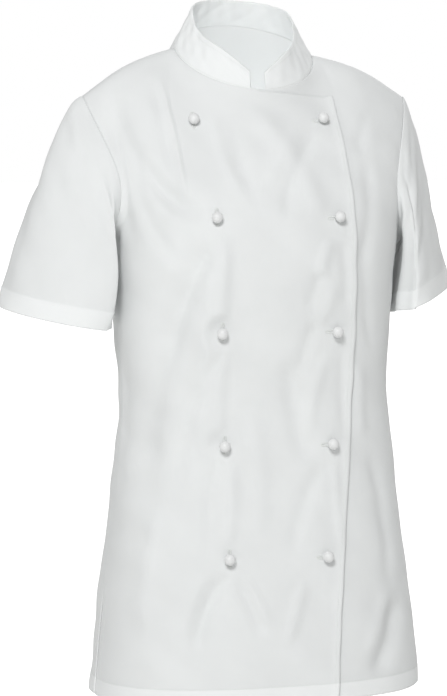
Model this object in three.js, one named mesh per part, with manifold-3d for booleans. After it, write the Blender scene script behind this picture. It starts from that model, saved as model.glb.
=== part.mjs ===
// A women's short-sleeved, double-breasted chef jacket, filled out as if worn, with no wearer.
// Millimetres, +Z up. The front faces -Y and the wearer's right side is at -X. The origin is the
// centre of the neck opening, 4 mm below the points where collar and shoulder seams meet.

import * as THREE from "three";
import Module from "manifold-3d";
import { mergeVertices } from "three/addons/utils/BufferGeometryUtils.js";

const manifold = await Module();
manifold.setup();

// Cloth and seams
const CLOTH = 1.3; // wall of a panel, two plies with what is pressed between
const COLLAR_CLOTH = 2.0; // the stiffened collar is thicker
const SEAM = 0.3; // space left between pieces that are sewn together
const LAYER_GAP = 1.1; // air between the two fronts where they lap
const LAYER = CLOTH + LAYER_GAP; // how far the under front lies below the upper one

// Trunk levels and seams
const HEM_Z = -717;
const HEM_TILT = 4; // the hem hangs this much lower on the wearer's right, and higher on the left
const UNDERARM_Z = -216;
const VENT_TOP_Z = -602;
const VENT_PULL = 7; // how far the front's edge stands back from the side seam in the vent
const TRUNK_SHARE = 0.7; // part of a panel's rows that lie below the underarm
const SHOULDER_BLEND = 2.6; // how late the chest turns over towards the shoulder seam
const SHOULDER_ROUND = 0.5; // 1 gives a sharp ridge at the shoulder seam, 0.5 a round one
const SQUARE = 2.45; // 2 is an ellipse, more is squarer

// Neck, shoulders and armholes
const NECK_HALF = 81;
const NECK_Y = 4;
const NECK_FRONT = { y: -66, z: -43 };
const NECK_BACK = { y: 58, z: 31 };
const NECK_LIFT = 4; // the neck-shoulder points lie this much above the origin
const NECK_TILT = 4; // the neck opening is carried this much higher on the wearer's right
const SHOULDER_TIP = { x: 190, y: 2, z: -48 };
const SHOULDER_RISE = 8; // how far the shoulder seam arches above a straight line
const NECK_SHARE = 0.42; // part of half a panel's width that ends in the neckline
const ARM_SCOOP_FRONT = 33; // degrees by which an armhole cuts into each face of the trunk
const ARM_SCOOP_BACK = 27;
const SCOOP = { gain: 1.78, power: 0.62, end: 1.35 }; // the cut's course up the armhole

// Overlap of the two fronts
const UNDER_EDGE_X = -94; // hidden edge of the left front
const LAP_TOP = { z: -41, drop: 8 }; // top edge of each front past the centre line
const STUD_ROWS = [
  { row: 1, z: -76, right: -77, left: 72 },
  { row: 2, z: -183, right: -66, left: 73 },
  { row: 3, z: -309, right: -62, left: 68 },
  { row: 4, z: -435, right: -60, left: 62 },
  { row: 5, z: -559, right: -59, left: 52 },
];
const FREE_EDGE = [
  { z: -717, x: 60 },
  { z: -640, x: 65 },
  { z: -560, x: 73 },
  { z: -440, x: 85 },
  { z: -330, x: 91 },
  { z: -200, x: 94.5 },
  { z: -100, x: 92.5 },
  { z: -40, x: 89 },
];

// Sections of the trunk: half width, and the places in Y of the side, front and back
const SECTIONS = [
  { z: -717, half: 188, side: -50, front: -192, back: 98 },
  { z: -620, half: 179, side: -50, front: -181, back: 94 },
  { z: -540, half: 169, side: -50, front: -168, back: 80 },
  { z: -460, half: 160, side: -48, front: -156, back: 67 },
  { z: -385, half: 154, side: -45, front: -149, back: 62 },
  { z: -320, half: 157, side: -38, front: -151, back: 73 },
  { z: -250, half: 165, side: -26, front: -155, back: 87 },
  { z: -205, half: 171, side: -17, front: -150, back: 93 },
  { z: -150, half: 178, side: -11, front: -134, back: 95 },
  { z: -100, half: 186, side: -7, front: -113, back: 91 },
  { z: -50, half: 190, side: -3, front: -88, back: 80 },
  { z: 30, half: 190, side: 0, front: -50, back: 56 },
];

// Collar: height and inward lean in degrees at the front, side and back of the neck
const COLLAR = { front: 40, side: 41, back: 30, leanFront: 10, leanSide: 32, leanBack: 22 };
const COLLAR_GAP = 19;
const COLLAR_ROUND = { run: 34, rise: 20 }; // the long curve of the upper corners at both ends
const COLLAR_LENGTH = 440;

// Sleeve hems: the centre, and the runs to the front crease, to the outer side and from the inner
// side to the centre
const SLEEVES = {
  right_sleeve: {
    mirror: -1,
    hem: { x: 230, y: -44, z: -294 },
    crease: { x: -49, y: -51, z: -13 },
    outer: { x: 37, y: -30, z: 3 },
    inner: { x: 37, y: -30, z: 3 },
    cap: { x: 128, z: -60 },
    swing: 84,
  },
  left_sleeve: {
    mirror: 1,
    hem: { x: 209, y: -14, z: -280 },
    crease: { x: -33, y: -77, z: -8 },
    outer: { x: 29, y: -9, z: 13 },
    inner: { x: 29, y: -46, z: 13 },
    cap: { x: 52, z: -75 },
    swing: -36,
  },
};
const PIT = { x: 44, z: -4 }; // how the cloth leaves the armhole under the arm, as cap does on top
const LEAVE_SPREAD = 26; // how far it spreads to the front and back there
const ARRIVE = { pit: -24, cap: 52, z: -200 }; // the slope and pull with which it meets the hem
const LEAVE_GAP = 0.7; // the sleeve's edge stands this far off the armhole's, along its cloth
const CREASE_SHARP = 1.25; // 1 is an oval hem, 2 a leaf with sharp creases

// Ball studs
const STUD = { ball: 6.3, neck: 2, hole: 2.5, disc: 5.6, discThick: 1.6, slack: 0.8, flat: 8, flatFoot: 24 };

// Largest folds. x and z are seen from the front or back, bow is how far the line bends aside,
// width is from the fold's line to its foot, and a depth below zero is a trough.
const FRONT_FOLDS = [
  { x0: -161, z0: -58, x1: -92, z1: -175, bow: 16, width: 19, depth: -5 },
  { x0: -170, z0: -78, x1: -153, z1: -205, bow: 4, width: 15, depth: -4 },
  { x0: -88, z0: -222, x1: -143, z1: -482, bow: 14, width: 26, depth: -6 },
  { x0: -66, z0: -213, x1: -80, z1: -438, bow: 4, width: 22, depth: 4 },
  { x0: -8, z0: -68, x1: 52, z1: -172, bow: -6, width: 24, depth: 3.5 },
  { x0: 16, z0: -345, x1: 33, z1: -443, bow: 3, width: 20, depth: -3 },
  { x0: -73, z0: -575, x1: -99, z1: -660, bow: 5, width: 22, depth: -3.5 },
  { x0: 146, z0: -615, x1: 112, z1: -690, bow: -5, width: 20, depth: -5 },
];
const BACK_FOLDS = [
  { x0: 60, z0: -215, x1: 84, z1: -470, bow: -10, width: 26, depth: -6 },
  { x0: -70, z0: -200, x1: -92, z1: -440, bow: 8, width: 24, depth: -6 },
  { x0: 20, z0: -300, x1: 34, z1: -560, bow: 8, width: 26, depth: 4 },
  { x0: 146, z0: -100, x1: 92, z1: -205, bow: 8, width: 17, depth: -4 },
  { x0: -148, z0: -105, x1: -100, z1: -220, bow: -8, width: 17, depth: -4 },
  { x0: -40, z0: -560, x1: -58, z1: -700, bow: 6, width: 26, depth: -5 },
  { x0: 96, z0: -590, x1: 112, z1: -705, bow: -6, width: 22, depth: -4.5 },
];

// Grid sizes
const ROWS_BELOW = 16;
const ROWS_ABOVE = 14;
const FRONT_COLUMNS = 15; // to each side of the centre
const BACK_COLUMNS = 24;
const SLEEVE_ROUND = 2 * ROWS_ABOVE; // so that sleeve and armhole points meet
const SLEEVE_ROWS = 10;
const COLLAR_COLUMNS = 40;

const FRONT = -1;
const BACK = 1;
const RIGHT_ANGLE = Math.PI / 2;

const lerp = (a, b, share) => a + (b - a) * share;
const clamp01 = (value) => Math.min(1, Math.max(0, value));
const smooth = (value) => clamp01(value) ** 2 * (3 - 2 * clamp01(value));
const vector = (p) => new THREE.Vector3(p.x, p.y, p.z);

// Reads one column of a table whose rows rise in z, with a smooth curve between the rows
function readTable(table, z, column) {
  let i = table.findIndex((row) => row.z >= z);
  if (i === -1) i = table.length - 1;
  i = Math.max(1, i);
  const slope = (k) => {
    const low = table[Math.max(0, k - 1)];
    const high = table[Math.min(table.length - 1, k + 1)];
    return (high[column] - low[column]) / (high.z - low.z);
  };
  const [a, b] = [table[i - 1], table[i]];
  const span = b.z - a.z;
  const t = clamp01((z - a.z) / span);
  const hermiteA = (2 * t - 3) * t * t + 1;
  const hermiteB = (3 - 2 * t) * t * t;
  const tangentA = ((t - 2) * t + 1) * t * span;
  const tangentB = (t - 1) * t * t * span;
  return hermiteA * a[column] + hermiteB * b[column] + tangentA * slope(i - 1) + tangentB * slope(i);
}

// The neckline as a closed loop: angle 0 is the centre front and 180 degrees the centre back
function neckPoint(angle) {
  const c = Math.cos(angle);
  const s = Math.sin(angle);
  const end = c > 0 ? NECK_FRONT : NECK_BACK;
  const z = NECK_LIFT + end.z * Math.abs(c) - NECK_TILT * s;
  return new THREE.Vector3(NECK_HALF * s, NECK_Y + (end.y - NECK_Y) * Math.abs(c), z);
}

// The top row of a panel: half a neckline, then a shoulder seam out to the tip
function topPoint(face, t) {
  const side = Math.sign(t) || 1;
  const share = Math.abs(t) / NECK_SHARE;
  if (share <= 1) {
    const angle = share * RIGHT_ANGLE;
    return neckPoint(side * (face === FRONT ? angle : Math.PI - angle));
  }
  const along = (share - 1) / (1 / NECK_SHARE - 1);
  const x = lerp(NECK_HALF, SHOULDER_TIP.x, along);
  const arch = SHOULDER_RISE * Math.sin(Math.PI * along);
  const z = lerp(NECK_LIFT - side * NECK_TILT, SHOULDER_TIP.z, along) + arch;
  return new THREE.Vector3(side * x, lerp(NECK_Y, SHOULDER_TIP.y, along), z);
}

// A point of the trunk's section at z, with the angle measured from the centre line
function trunkPoint(face, angle, z) {
  const half = readTable(SECTIONS, z, "half");
  const side = readTable(SECTIONS, z, "side");
  const depth = Math.abs(readTable(SECTIONS, z, face === FRONT ? "front" : "back") - side);
  const s = Math.sin(angle);
  const c = Math.max(0, Math.cos(angle));
  const reach = (Math.abs(s) ** SQUARE + c ** SQUARE) ** (-1 / SQUARE);
  return new THREE.Vector3(half * s * reach, side + face * depth * c * reach, z);
}

// How far a fold table moves the point (x, z) out of the cloth
function foldRise(folds, x, z) {
  let rise = 0;
  for (const fold of folds) {
    const dx = fold.x1 - fold.x0;
    const dz = fold.z1 - fold.z0;
    const length = Math.hypot(dx, dz);
    const along = ((x - fold.x0) * dx + (z - fold.z0) * dz) / (length * length);
    const bend = fold.bow * 4 * along * (1 - along);
    const aside = ((x - fold.x0) * dz - (z - fold.z0) * dx) / length - bend;
    const fade = smooth(Math.min(along + 0.15, 1.15 - along) / 0.35);
    rise += fold.depth * fade * Math.exp(-2.5 * (aside / fold.width) ** 2);
  }
  if (folds === BACK_FOLDS) return rise;
  const places = STUD_ROWS.flatMap((row) => [[row.right, row.z], [row.left, row.z]]);
  const nearest = Math.min(...places.map(([studX, studZ]) => Math.hypot(x - studX, z - studZ)));
  return rise * smooth((nearest - STUD.flat) / (STUD.flatFoot - STUD.flat));
}

// How far an armhole cuts in, from nothing under the arm, most at half its height, less at the tip
function scoopAngle(face, share) {
  const most = THREE.MathUtils.degToRad(face === FRONT ? ARM_SCOOP_FRONT : ARM_SCOOP_BACK);
  return most * SCOOP.gain * share ** SCOOP.power * (SCOOP.end - share);
}

// The smooth cloth of the front or back, t from -1 to 1 across and v from hem to shoulder
function smoothPoint(face, t, v) {
  if (v <= TRUNK_SHARE) {
    const point = trunkPoint(face, t * RIGHT_ANGLE, lerp(HEM_Z, UNDERARM_Z, v / TRUNK_SHARE));
    point.z += (HEM_TILT * point.x * (1 - v / TRUNK_SHARE) ** 2) / SECTIONS[0].half;
    return point;
  }
  const share = Math.min(1, (v - TRUNK_SHARE) / (1 - TRUNK_SHARE));
  const angle = t * RIGHT_ANGLE - Math.sign(t) * t * t * scoopAngle(face, share);
  const top = topPoint(face, t);
  const point = trunkPoint(face, angle, lerp(UNDERARM_Z, top.z, share));
  const roundness = lerp(1, SHOULDER_ROUND, smooth((Math.abs(t) - 0.12) / 0.5));
  const blend = 1 - (1 - share ** SHOULDER_BLEND) ** roundness;
  point.x = lerp(point.x, top.x, blend);
  point.y = lerp(point.y, top.y, blend);
  return point;
}

// Outward normal of a surface given as a function of two numbers, by small differences
function normalOf(surface, u, v, step = 0.004) {
  const du = surface(Math.min(1, u + step), v).sub(surface(Math.max(-1, u - step), v));
  const dv = surface(u, Math.min(1, v + step)).sub(surface(u, Math.max(0, v - step)));
  return du.cross(dv).normalize();
}

function panelNormal(face, t, v) {
  return normalOf((a, b) => smoothPoint(face, a, b), t, v).multiplyScalar(-face);
}

// The normal that both faces share along their seams, so that their walls meet edge to edge
function seamNormal(face, t, v) {
  const own = panelNormal(face, t, v);
  const near = clamp01((v - 0.985) / 0.015) * (Math.abs(t) >= NECK_SHARE ? 1 : 0);
  if (near === 0) return own;
  const other = panelNormal(-face, t, v);
  return own.lerp(own.clone().add(other).multiplyScalar(0.5), near).normalize();
}

// The outer face of the front or back with its folds
function clothPoint(face, t, v, lift = 0) {
  const point = smoothPoint(face, t, v);
  const normal = seamNormal(face, t, v);
  const edge = smooth((1 - Math.abs(t)) / 0.12) * smooth((1 - v) / 0.05);
  const rise = foldRise(face === FRONT ? FRONT_FOLDS : BACK_FOLDS, point.x, point.z) * edge;
  return point.addScaledVector(normal, rise + lift);
}

// The value in a range at which a rising function reaches a target
function solve(rising, target, low, high) {
  for (let k = 0; k < 40; k += 1) {
    const middle = (low + high) / 2;
    if (rising(middle) < target) low = middle;
    else high = middle;
  }
  return (low + high) / 2;
}

const rowAtHeight = (face, t, z) => solve((v) => smoothPoint(face, t, v).z, z, 0, 1);
const columnAtX = (face, x, v) => solve((t) => smoothPoint(face, t, v).x, x, -1, 1);

// The column and row of the front at which x and z are reached
function locate(face, x, z) {
  let t = 0;
  let v = 0;
  for (let k = 0; k < 12; k += 1) {
    v = rowAtHeight(face, t, z);
    t = columnAtX(face, x, v);
  }
  return { t, v };
}

// A closed wall between a grid of outer points and a grid of inner points
function wallGeometry(outer, inner, closed = false) {
  const rows = outer.length;
  const columns = outer[0].length;
  const positions = [];
  [...outer, ...inner].flat().forEach((p) => positions.push(p.x, p.y, p.z));
  const index = [];
  const at = (layer, i, j) => layer * rows * columns + i * columns + (j % columns);
  const quad = (a, b, c, d) => index.push(a, b, c, a, c, d);
  const lastColumn = closed ? columns : columns - 1;
  for (let i = 0; i < rows - 1; i += 1) {
    for (let j = 0; j < lastColumn; j += 1) {
      quad(at(0, i, j), at(0, i, j + 1), at(0, i + 1, j + 1), at(0, i + 1, j));
      quad(at(1, i, j), at(1, i + 1, j), at(1, i + 1, j + 1), at(1, i, j + 1));
    }
  }
  for (let j = 0; j < lastColumn; j += 1) {
    quad(at(1, 0, j), at(1, 0, j + 1), at(0, 0, j + 1), at(0, 0, j));
    quad(at(0, rows - 1, j), at(0, rows - 1, j + 1), at(1, rows - 1, j + 1), at(1, rows - 1, j));
  }
  for (let i = 0; i < rows - 1 && !closed; i += 1) {
    quad(at(0, i, 0), at(0, i + 1, 0), at(1, i + 1, 0), at(1, i, 0));
    quad(at(1, i, columns - 1), at(1, i + 1, columns - 1), at(0, i + 1, columns - 1), at(0, i, columns - 1));
  }
  const geometry = new THREE.BufferGeometry();
  geometry.setAttribute("position", new THREE.Float32BufferAttribute(positions, 3));
  geometry.setIndex(index);
  return geometry;
}

// Turns a geometry inside out when its faces point inwards
function facingOut(geometry) {
  const p = geometry.attributes.position;
  const index = geometry.index.array;
  const [a, b, c] = [new THREE.Vector3(), new THREE.Vector3(), new THREE.Vector3()];
  let volume = 0;
  for (let k = 0; k < index.length; k += 3) {
    a.fromBufferAttribute(p, index[k]);
    b.fromBufferAttribute(p, index[k + 1]);
    c.fromBufferAttribute(p, index[k + 2]);
    volume += a.dot(b.cross(c));
  }
  if (volume > 0) return geometry;
  for (let k = 0; k < index.length; k += 3) [index[k], index[k + 1]] = [index[k + 1], index[k]];
  return geometry;
}

// Rows of a panel from hem to neck, closer together under the arm and at the shoulder
const armholeRow = (angle) => lerp(TRUNK_SHARE, 1, (1 - Math.cos(angle)) / 2);
const PANEL_ROWS = [
  ...Array.from({ length: ROWS_BELOW }, (_, i) => (TRUNK_SHARE * i) / ROWS_BELOW),
  ...Array.from({ length: ROWS_ABOVE + 1 }, (_, i) => armholeRow((Math.PI * i) / ROWS_ABOVE)),
];
const VENT_ROW = (TRUNK_SHARE * (VENT_TOP_Z - HEM_Z)) / (UNDERARM_Z - HEM_Z);
const SIDE_RUN = 150; // cloth between a panel's centre line and its side seam near that seam, per column
const TOP_RUN = 450; // cloth between the underarm and the shoulder, per row
const SEAM_COLUMN = SEAM / 2 / SIDE_RUN; // half a seam's space as a part of the columns
const SEAM_ROW = SEAM / 2 / TOP_RUN;
const VENT_RUN = 230; // as SIDE_RUN, at the hem
const LAP_ROW = 0.86; // above this row the fronts' rows draw together towards their top edges

// Where a panel's side edge lies: on the seam, and drawn back inside the vent on the fronts
function sideEdge(face, v) {
  const open = face === FRONT ? smooth((VENT_ROW - v) / 0.03) * VENT_PULL : 0;
  return 1 - SEAM_COLUMN - open / VENT_RUN;
}

// The row at which a column of a front ends: the neckline, or past the centre the lap's top edge
function topRow(t, past) {
  if (past <= 0) return 1 - SEAM_ROW;
  const reach = Math.min(1, Math.abs(smoothPoint(FRONT, t, 1).x) / FREE_EDGE.at(-1).x);
  return Math.min(1 - SEAM_ROW, rowAtHeight(FRONT, t, LAP_TOP.z - LAP_TOP.drop * reach));
}

// Columns of both fronts share one spacing, so that the lapped layers follow each other. Column -1
// and 1 are the side seams, and columns -LAP and LAP the hidden edge and the free edge.
const LAP = 0.4;
function frontColumn(column, v) {
  const z = smoothPoint(FRONT, 0, v).z;
  const hidden = columnAtX(FRONT, UNDER_EDGE_X, v);
  const free = columnAtX(FRONT, readTable(FREE_EDGE, z, "x"), v);
  const seam = sideEdge(FRONT, v);
  if (column < -LAP) return lerp(-seam, hidden, (column + 1) / (1 - LAP));
  if (column > LAP) return lerp(free, seam, (column - LAP) / (1 - LAP));
  return lerp(hidden, free, (column + LAP) / (2 * LAP));
}

// How far the lapped layer lies under the other at an angle of the neckline: it comes up to the
// back's level at the shoulder seams
const NECK_FADE = { from: -0.1, over: 0.6 };
const neckInset = (angle) => LAYER * smooth((Math.cos(angle) - NECK_FADE.from) / NECK_FADE.over);
const INSET_ROW = 0.945; // above this row the under front rises to its level at the neckline

// A front: side is -1 for the wearer's right, which laps over the other
function frontGeometry(side) {
  const inset = side > 0 ? LAYER : 0;
  const columns = [];
  for (let k = -FRONT_COLUMNS; k <= FRONT_COLUMNS; k += 1) {
    if ((k / FRONT_COLUMNS) * side >= -LAP - 0.001) columns.push(k / FRONT_COLUMNS);
  }
  const outer = [];
  const inner = [];
  for (const row of PANEL_ROWS) {
    const outerRow = [];
    const innerRow = [];
    for (const column of columns) {
      let v = row;
      let t = frontColumn(column, v);
      if (row > LAP_ROW) {
        v = lerp(LAP_ROW, topRow(t, -t * side), (row - LAP_ROW) / (1 - LAP_ROW));
        t = frontColumn(column, v);
      }
      const neck = neckInset(Math.min(1, Math.abs(t) / NECK_SHARE) * RIGHT_ANGLE);
      const level = lerp(inset, neck, smooth((v - INSET_ROW) / (1 - INSET_ROW)));
      const drop = Math.min(inset * smooth((1 - Math.abs(t)) / 0.35), level);
      const outerPoint = clothPoint(FRONT, t, v, -drop);
      outerRow.push(outerPoint);
      innerRow.push(outerPoint.clone().addScaledVector(seamNormal(FRONT, t, v), -CLOTH));
    }
    outer.push(outerRow);
    inner.push(innerRow);
  }
  return facingOut(wallGeometry(outer, inner));
}

function backGeometry() {
  const outer = [];
  const inner = [];
  for (const row of PANEL_ROWS) {
    const v = Math.min(row, 1 - SEAM_ROW);
    const edge = sideEdge(BACK, v);
    const ts = Array.from({ length: BACK_COLUMNS + 1 }, (_, j) => edge * ((2 * j) / BACK_COLUMNS - 1));
    const outerRow = ts.map((t) => clothPoint(BACK, t, v));
    outer.push(outerRow);
    inner.push(ts.map((t, j) => outerRow[j].clone().addScaledVector(seamNormal(BACK, t, v), -CLOTH)));
  }
  return facingOut(wallGeometry(outer, inner));
}

// The armhole's edge: angle 0 is under the arm, 90 degrees the front and 180 the shoulder tip
function armholePoint(mirror, angle) {
  return smoothPoint(Math.sin(angle) >= 0 ? FRONT : BACK, mirror, armholeRow(angle));
}

// The way and pull with which a sleeve's cloth leaves the armhole
function leaving({ mirror, cap }, angle) {
  const rise = (1 - Math.cos(angle)) / 2;
  const x = mirror * lerp(PIT.x, cap.x, rise);
  return new THREE.Vector3(x, -LEAVE_SPREAD * Math.sin(angle), lerp(PIT.z, cap.z, rise));
}

// A sleeve's cloth, s from the armhole to the hem
function sleevePoint(sleeve, angle, s) {
  const { mirror, hem, crease, outer, inner, swing } = sleeve;
  const rise = (1 - Math.cos(angle)) / 2;
  const fore = Math.sin(angle);
  const start = armholePoint(mirror, angle);
  const c = Math.cos(angle);
  const aside = -Math.sign(c) * Math.abs(c) ** CREASE_SHARP;
  const wall = vector(aside > 0 ? outer : inner);
  const end = vector(hem).addScaledVector(vector(crease), fore).addScaledVector(wall, aside);
  end.x *= mirror;
  const leave = leaving(sleeve, angle);
  const inwards = lerp(ARRIVE.pit, ARRIVE.cap, rise) + swing * Math.max(0, fore) ** 4;
  const arrive = new THREE.Vector3(mirror * inwards, 0, ARRIVE.z);
  const h = (1 - s) ** 2;
  start.multiplyScalar((1 + 2 * s) * h).addScaledVector(end, s * s * (3 - 2 * s));
  return start.addScaledVector(leave, s * h).addScaledVector(arrive, s * s * (s - 1));
}

function sleeveGeometry(sleeve) {
  const outer = [];
  const inner = [];
  const surface = (angle, s) => sleevePoint(sleeve, angle, clamp01(s));
  for (let i = 0; i <= SLEEVE_ROWS; i += 1) {
    const outerRow = [];
    const innerRow = [];
    for (let j = 0; j < SLEEVE_ROUND; j += 1) {
      const angle = (j * 2 * Math.PI) / SLEEVE_ROUND;
      const s = i === 0 ? LEAVE_GAP / leaving(sleeve, angle).length() : (i / SLEEVE_ROWS) ** 1.25;
      const around = surface(angle + 0.05, s).sub(surface(angle - 0.05, s));
      const down = surface(angle, s + 0.01).sub(surface(angle, s - 0.01));
      const normal = around.cross(down).normalize().multiplyScalar(sleeve.mirror);
      const point = surface(angle, s);
      outerRow.push(point);
      innerRow.push(point.clone().addScaledVector(normal, -CLOTH));
    }
    outer.push(outerRow);
    inner.push(innerRow);
  }
  return facingOut(wallGeometry(outer, inner, true));
}

// The collar stands on the neckline and leans in, with rounded upper corners at its two ends
function collarGeometry() {
  const outer = [[], [], [], []];
  const inner = [[], [], [], []];
  const endAngle = Math.asin(COLLAR_GAP / 2 / NECK_HALF);
  const nearEnd = [0, 0.005, 0.018, 0.042];
  const steps = COLLAR_COLUMNS - 2 * nearEnd.length;
  const spread = Array.from({ length: steps + 1 }, (_, j) => lerp(0.077, 0.923, j / steps));
  const shares = [...nearEnd, ...spread, ...nearEnd.map((share) => 1 - share).reverse()];
  for (const share of shares) {
    const angle = lerp(endAngle, 2 * Math.PI - endAngle, share);
    const c = Math.cos(angle);
    const mix = (end, side) => lerp(side, end, c * c);
    const height = mix(c > 0 ? COLLAR.front : COLLAR.back, COLLAR.side);
    const lean = THREE.MathUtils.degToRad(mix(c > 0 ? COLLAR.leanFront : COLLAR.leanBack, COLLAR.leanSide));
    const base = neckPoint(angle);
    const along = neckPoint(angle + 0.02).sub(neckPoint(angle - 0.02)).normalize();
    const out = new THREE.Vector3(along.y, -along.x, 0).normalize();
    if (out.dot(base) < 0) out.negate();
    const up = new THREE.Vector3(0, 0, Math.cos(lean)).addScaledVector(out, -Math.sin(lean));
    const normal = out.multiplyScalar(Math.cos(lean)).add(new THREE.Vector3(0, 0, Math.sin(lean)));
    const fromEnd = Math.min(share, 1 - share) * COLLAR_LENGTH;
    const gone = Math.max(0, 1 - fromEnd / COLLAR_ROUND.run);
    const full = height - COLLAR_ROUND.rise * (1 - Math.sqrt(1 - gone ** 2));
    const inset = angle < Math.PI ? neckInset(angle) : 0;
    base.addScaledVector(normal, -inset);
    const foot = SEAM + 0.55 * COLLAR_CLOTH * Math.sin(lean); // clear of the panels under its lean
    [0, 1, 2, 3].forEach((k) => {
      const point = base.clone().addScaledVector(up, lerp(foot, full, k / 3));
      outer[k].push(point);
      inner[k].push(point.clone().addScaledVector(normal, -COLLAR_CLOTH));
    });
  }
  return facingOut(wallGeometry(outer, inner));
}

// Frame of a stud: its place on the cloth and the way its ball points
function studSeat(x, z) {
  const { t, v } = locate(FRONT, x, z);
  return { point: clothPoint(FRONT, t, v), normal: seamNormal(FRONT, t, v) };
}

// Depth from the outer cloth to the inside of the lapped layers
const LAPPED = 2 * CLOTH + LAYER_GAP;

// Ball, neck and disc turned as one piece, standing along +Y with the cloth's outer face at 0
function studGeometry() {
  const { ball, neck, disc, discThick } = STUD;
  const start = Math.asin(neck / ball);
  const middle = ball * Math.cos(start) + STUD.slack;
  const bottom = -LAPPED - STUD.slack - discThick;
  const profile = [
    [0, bottom], [disc - 0.5, bottom], [disc, bottom + 0.5], [disc, bottom + discThick],
    [neck, bottom + discThick], [neck, STUD.slack],
  ];
  for (let k = 1; k < 6; k += 1) {
    const angle = lerp(start, Math.PI, k / 6);
    profile.push([ball * Math.sin(angle), middle - ball * Math.cos(angle)]);
  }
  profile.push([0, middle + ball]);
  return new THREE.LatheGeometry(profile.map(([r, h]) => new THREE.Vector2(r, h)), 10);
}

function toSolid(geometry) {
  const bare = geometry.clone();
  bare.deleteAttribute("normal");
  bare.deleteAttribute("uv");
  const merged = mergeVertices(bare, 1e-4);
  const triVerts = Uint32Array.from(merged.index.array);
  const vertProperties = Float32Array.from(merged.attributes.position.array);
  return new manifold.Manifold(new manifold.Mesh({ numProp: 3, vertProperties, triVerts }));
}

function fromSolid(solid) {
  const mesh = solid.getMesh();
  const geometry = new THREE.BufferGeometry();
  geometry.setAttribute("position", new THREE.BufferAttribute(mesh.vertProperties, 3));
  geometry.setIndex(new THREE.BufferAttribute(mesh.triVerts, 1));
  return geometry;
}

const seats = [];
for (const row of STUD_ROWS) {
  seats.push({ name: `stud_right_${row.row}`, ...studSeat(row.right, row.z) });
  seats.push({ name: `stud_left_${row.row}`, ...studSeat(row.left, row.z) });
}

// The two fronts with a round hole for every stud's neck
function pierced(geometry) {
  let solid = toSolid(geometry);
  for (const seat of seats) {
    const drill = new THREE.CylinderGeometry(STUD.hole, STUD.hole, 12, 10);
    drill.applyQuaternion(new THREE.Quaternion().setFromUnitVectors(new THREE.Vector3(0, 1, 0), seat.normal));
    drill.translate(seat.point.x, seat.point.y, seat.point.z);
    solid = solid.subtract(toSolid(drill));
  }
  return fromSolid(solid);
}

const clothMaterial = new THREE.MeshStandardMaterial({ color: 0xeef0ef, roughness: 0.85, metalness: 0 });
const studMaterial = new THREE.MeshStandardMaterial({ color: 0xf0f0ee, roughness: 0.5, metalness: 0 });

const jacket = new THREE.Group();

function addPiece(name, geometry, material) {
  const mesh = new THREE.Mesh(geometry, material.clone());
  mesh.name = name;
  jacket.add(mesh);
  return mesh;
}

addPiece("right_front", pierced(frontGeometry(-1)), clothMaterial);
addPiece("left_front", pierced(frontGeometry(1)), clothMaterial);
addPiece("back", backGeometry(), clothMaterial);
for (const [name, sleeve] of Object.entries(SLEEVES)) addPiece(name, sleeveGeometry(sleeve), clothMaterial);
addPiece("collar", collarGeometry(), clothMaterial);

for (const seat of seats) {
  const stud = addPiece(seat.name, studGeometry(), studMaterial);
  stud.position.copy(seat.point);
  stud.quaternion.setFromUnitVectors(new THREE.Vector3(0, 1, 0), seat.normal);
}

export default jacket;
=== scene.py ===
"""A women's short-sleeved, double-breasted chef jacket, filled out as if worn, with no wearer.

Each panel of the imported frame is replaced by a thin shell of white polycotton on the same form,
with its folds, turned hems and stitching, and each stud by a moulded ball stud. The driving sizes
are in millimetres, and meshes are written in metres.
"""

from __future__ import annotations

import logging
import math
from dataclasses import dataclass, field
from enum import Enum
from typing import Callable

import bmesh
import bpy
import numpy as np
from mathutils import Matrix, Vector

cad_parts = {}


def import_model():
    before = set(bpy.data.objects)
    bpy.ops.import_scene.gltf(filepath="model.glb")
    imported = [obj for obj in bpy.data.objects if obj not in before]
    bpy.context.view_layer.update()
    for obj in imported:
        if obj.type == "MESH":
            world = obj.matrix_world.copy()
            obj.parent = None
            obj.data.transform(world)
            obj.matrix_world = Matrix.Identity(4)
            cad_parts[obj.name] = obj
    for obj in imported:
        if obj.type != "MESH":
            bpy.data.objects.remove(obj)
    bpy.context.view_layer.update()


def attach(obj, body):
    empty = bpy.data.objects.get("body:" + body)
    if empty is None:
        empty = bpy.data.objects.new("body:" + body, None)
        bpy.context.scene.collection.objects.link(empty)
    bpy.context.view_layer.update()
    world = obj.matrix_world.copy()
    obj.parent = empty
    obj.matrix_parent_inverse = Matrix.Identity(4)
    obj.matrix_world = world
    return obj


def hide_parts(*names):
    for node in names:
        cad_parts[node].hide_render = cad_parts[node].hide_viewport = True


LOG = logging.getLogger("chef_jacket")
MM = 0.001
RIGHT_ANGLE = math.pi / 2
# How fast a fold falls off from its line to its foot
FOLD_TAPER = 2.5
# How far stitches lie above the cloth, on a hem and elsewhere
HEM_STITCH_LIFT = 0.1
STITCH_LIFT = 0.12
# Places of the closer rows and columns beside a mark, as shares of its finer stretch
CLOSE_PLACES = (-1.6, -0.8, 0, 0.8, 1.6)
Array = np.ndarray


def lerp(a: Array | float, b: Array | float, share: Array | float) -> Array | float:
    """Blend from a to b."""
    return a + (b - a) * share


def smooth(value: Array | float) -> Array:
    """Ease from 0 to 1 while the value goes from 0 to 1."""
    clipped = np.clip(value, 0.0, 1.0)
    return clipped * clipped * (3 - 2 * clipped)


def points_of(x: Array | float, y: Array | float, z: Array | float) -> Array:
    """Stack three coordinates as points along a new last axis."""
    return np.stack(np.broadcast_arrays(x, y, z), axis=-1).astype(float)


def unit(vectors: Array) -> Array:
    """Scale vectors to length 1."""
    return vectors / np.maximum(np.linalg.norm(vectors, axis=-1, keepdims=True), 1e-9)


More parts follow.
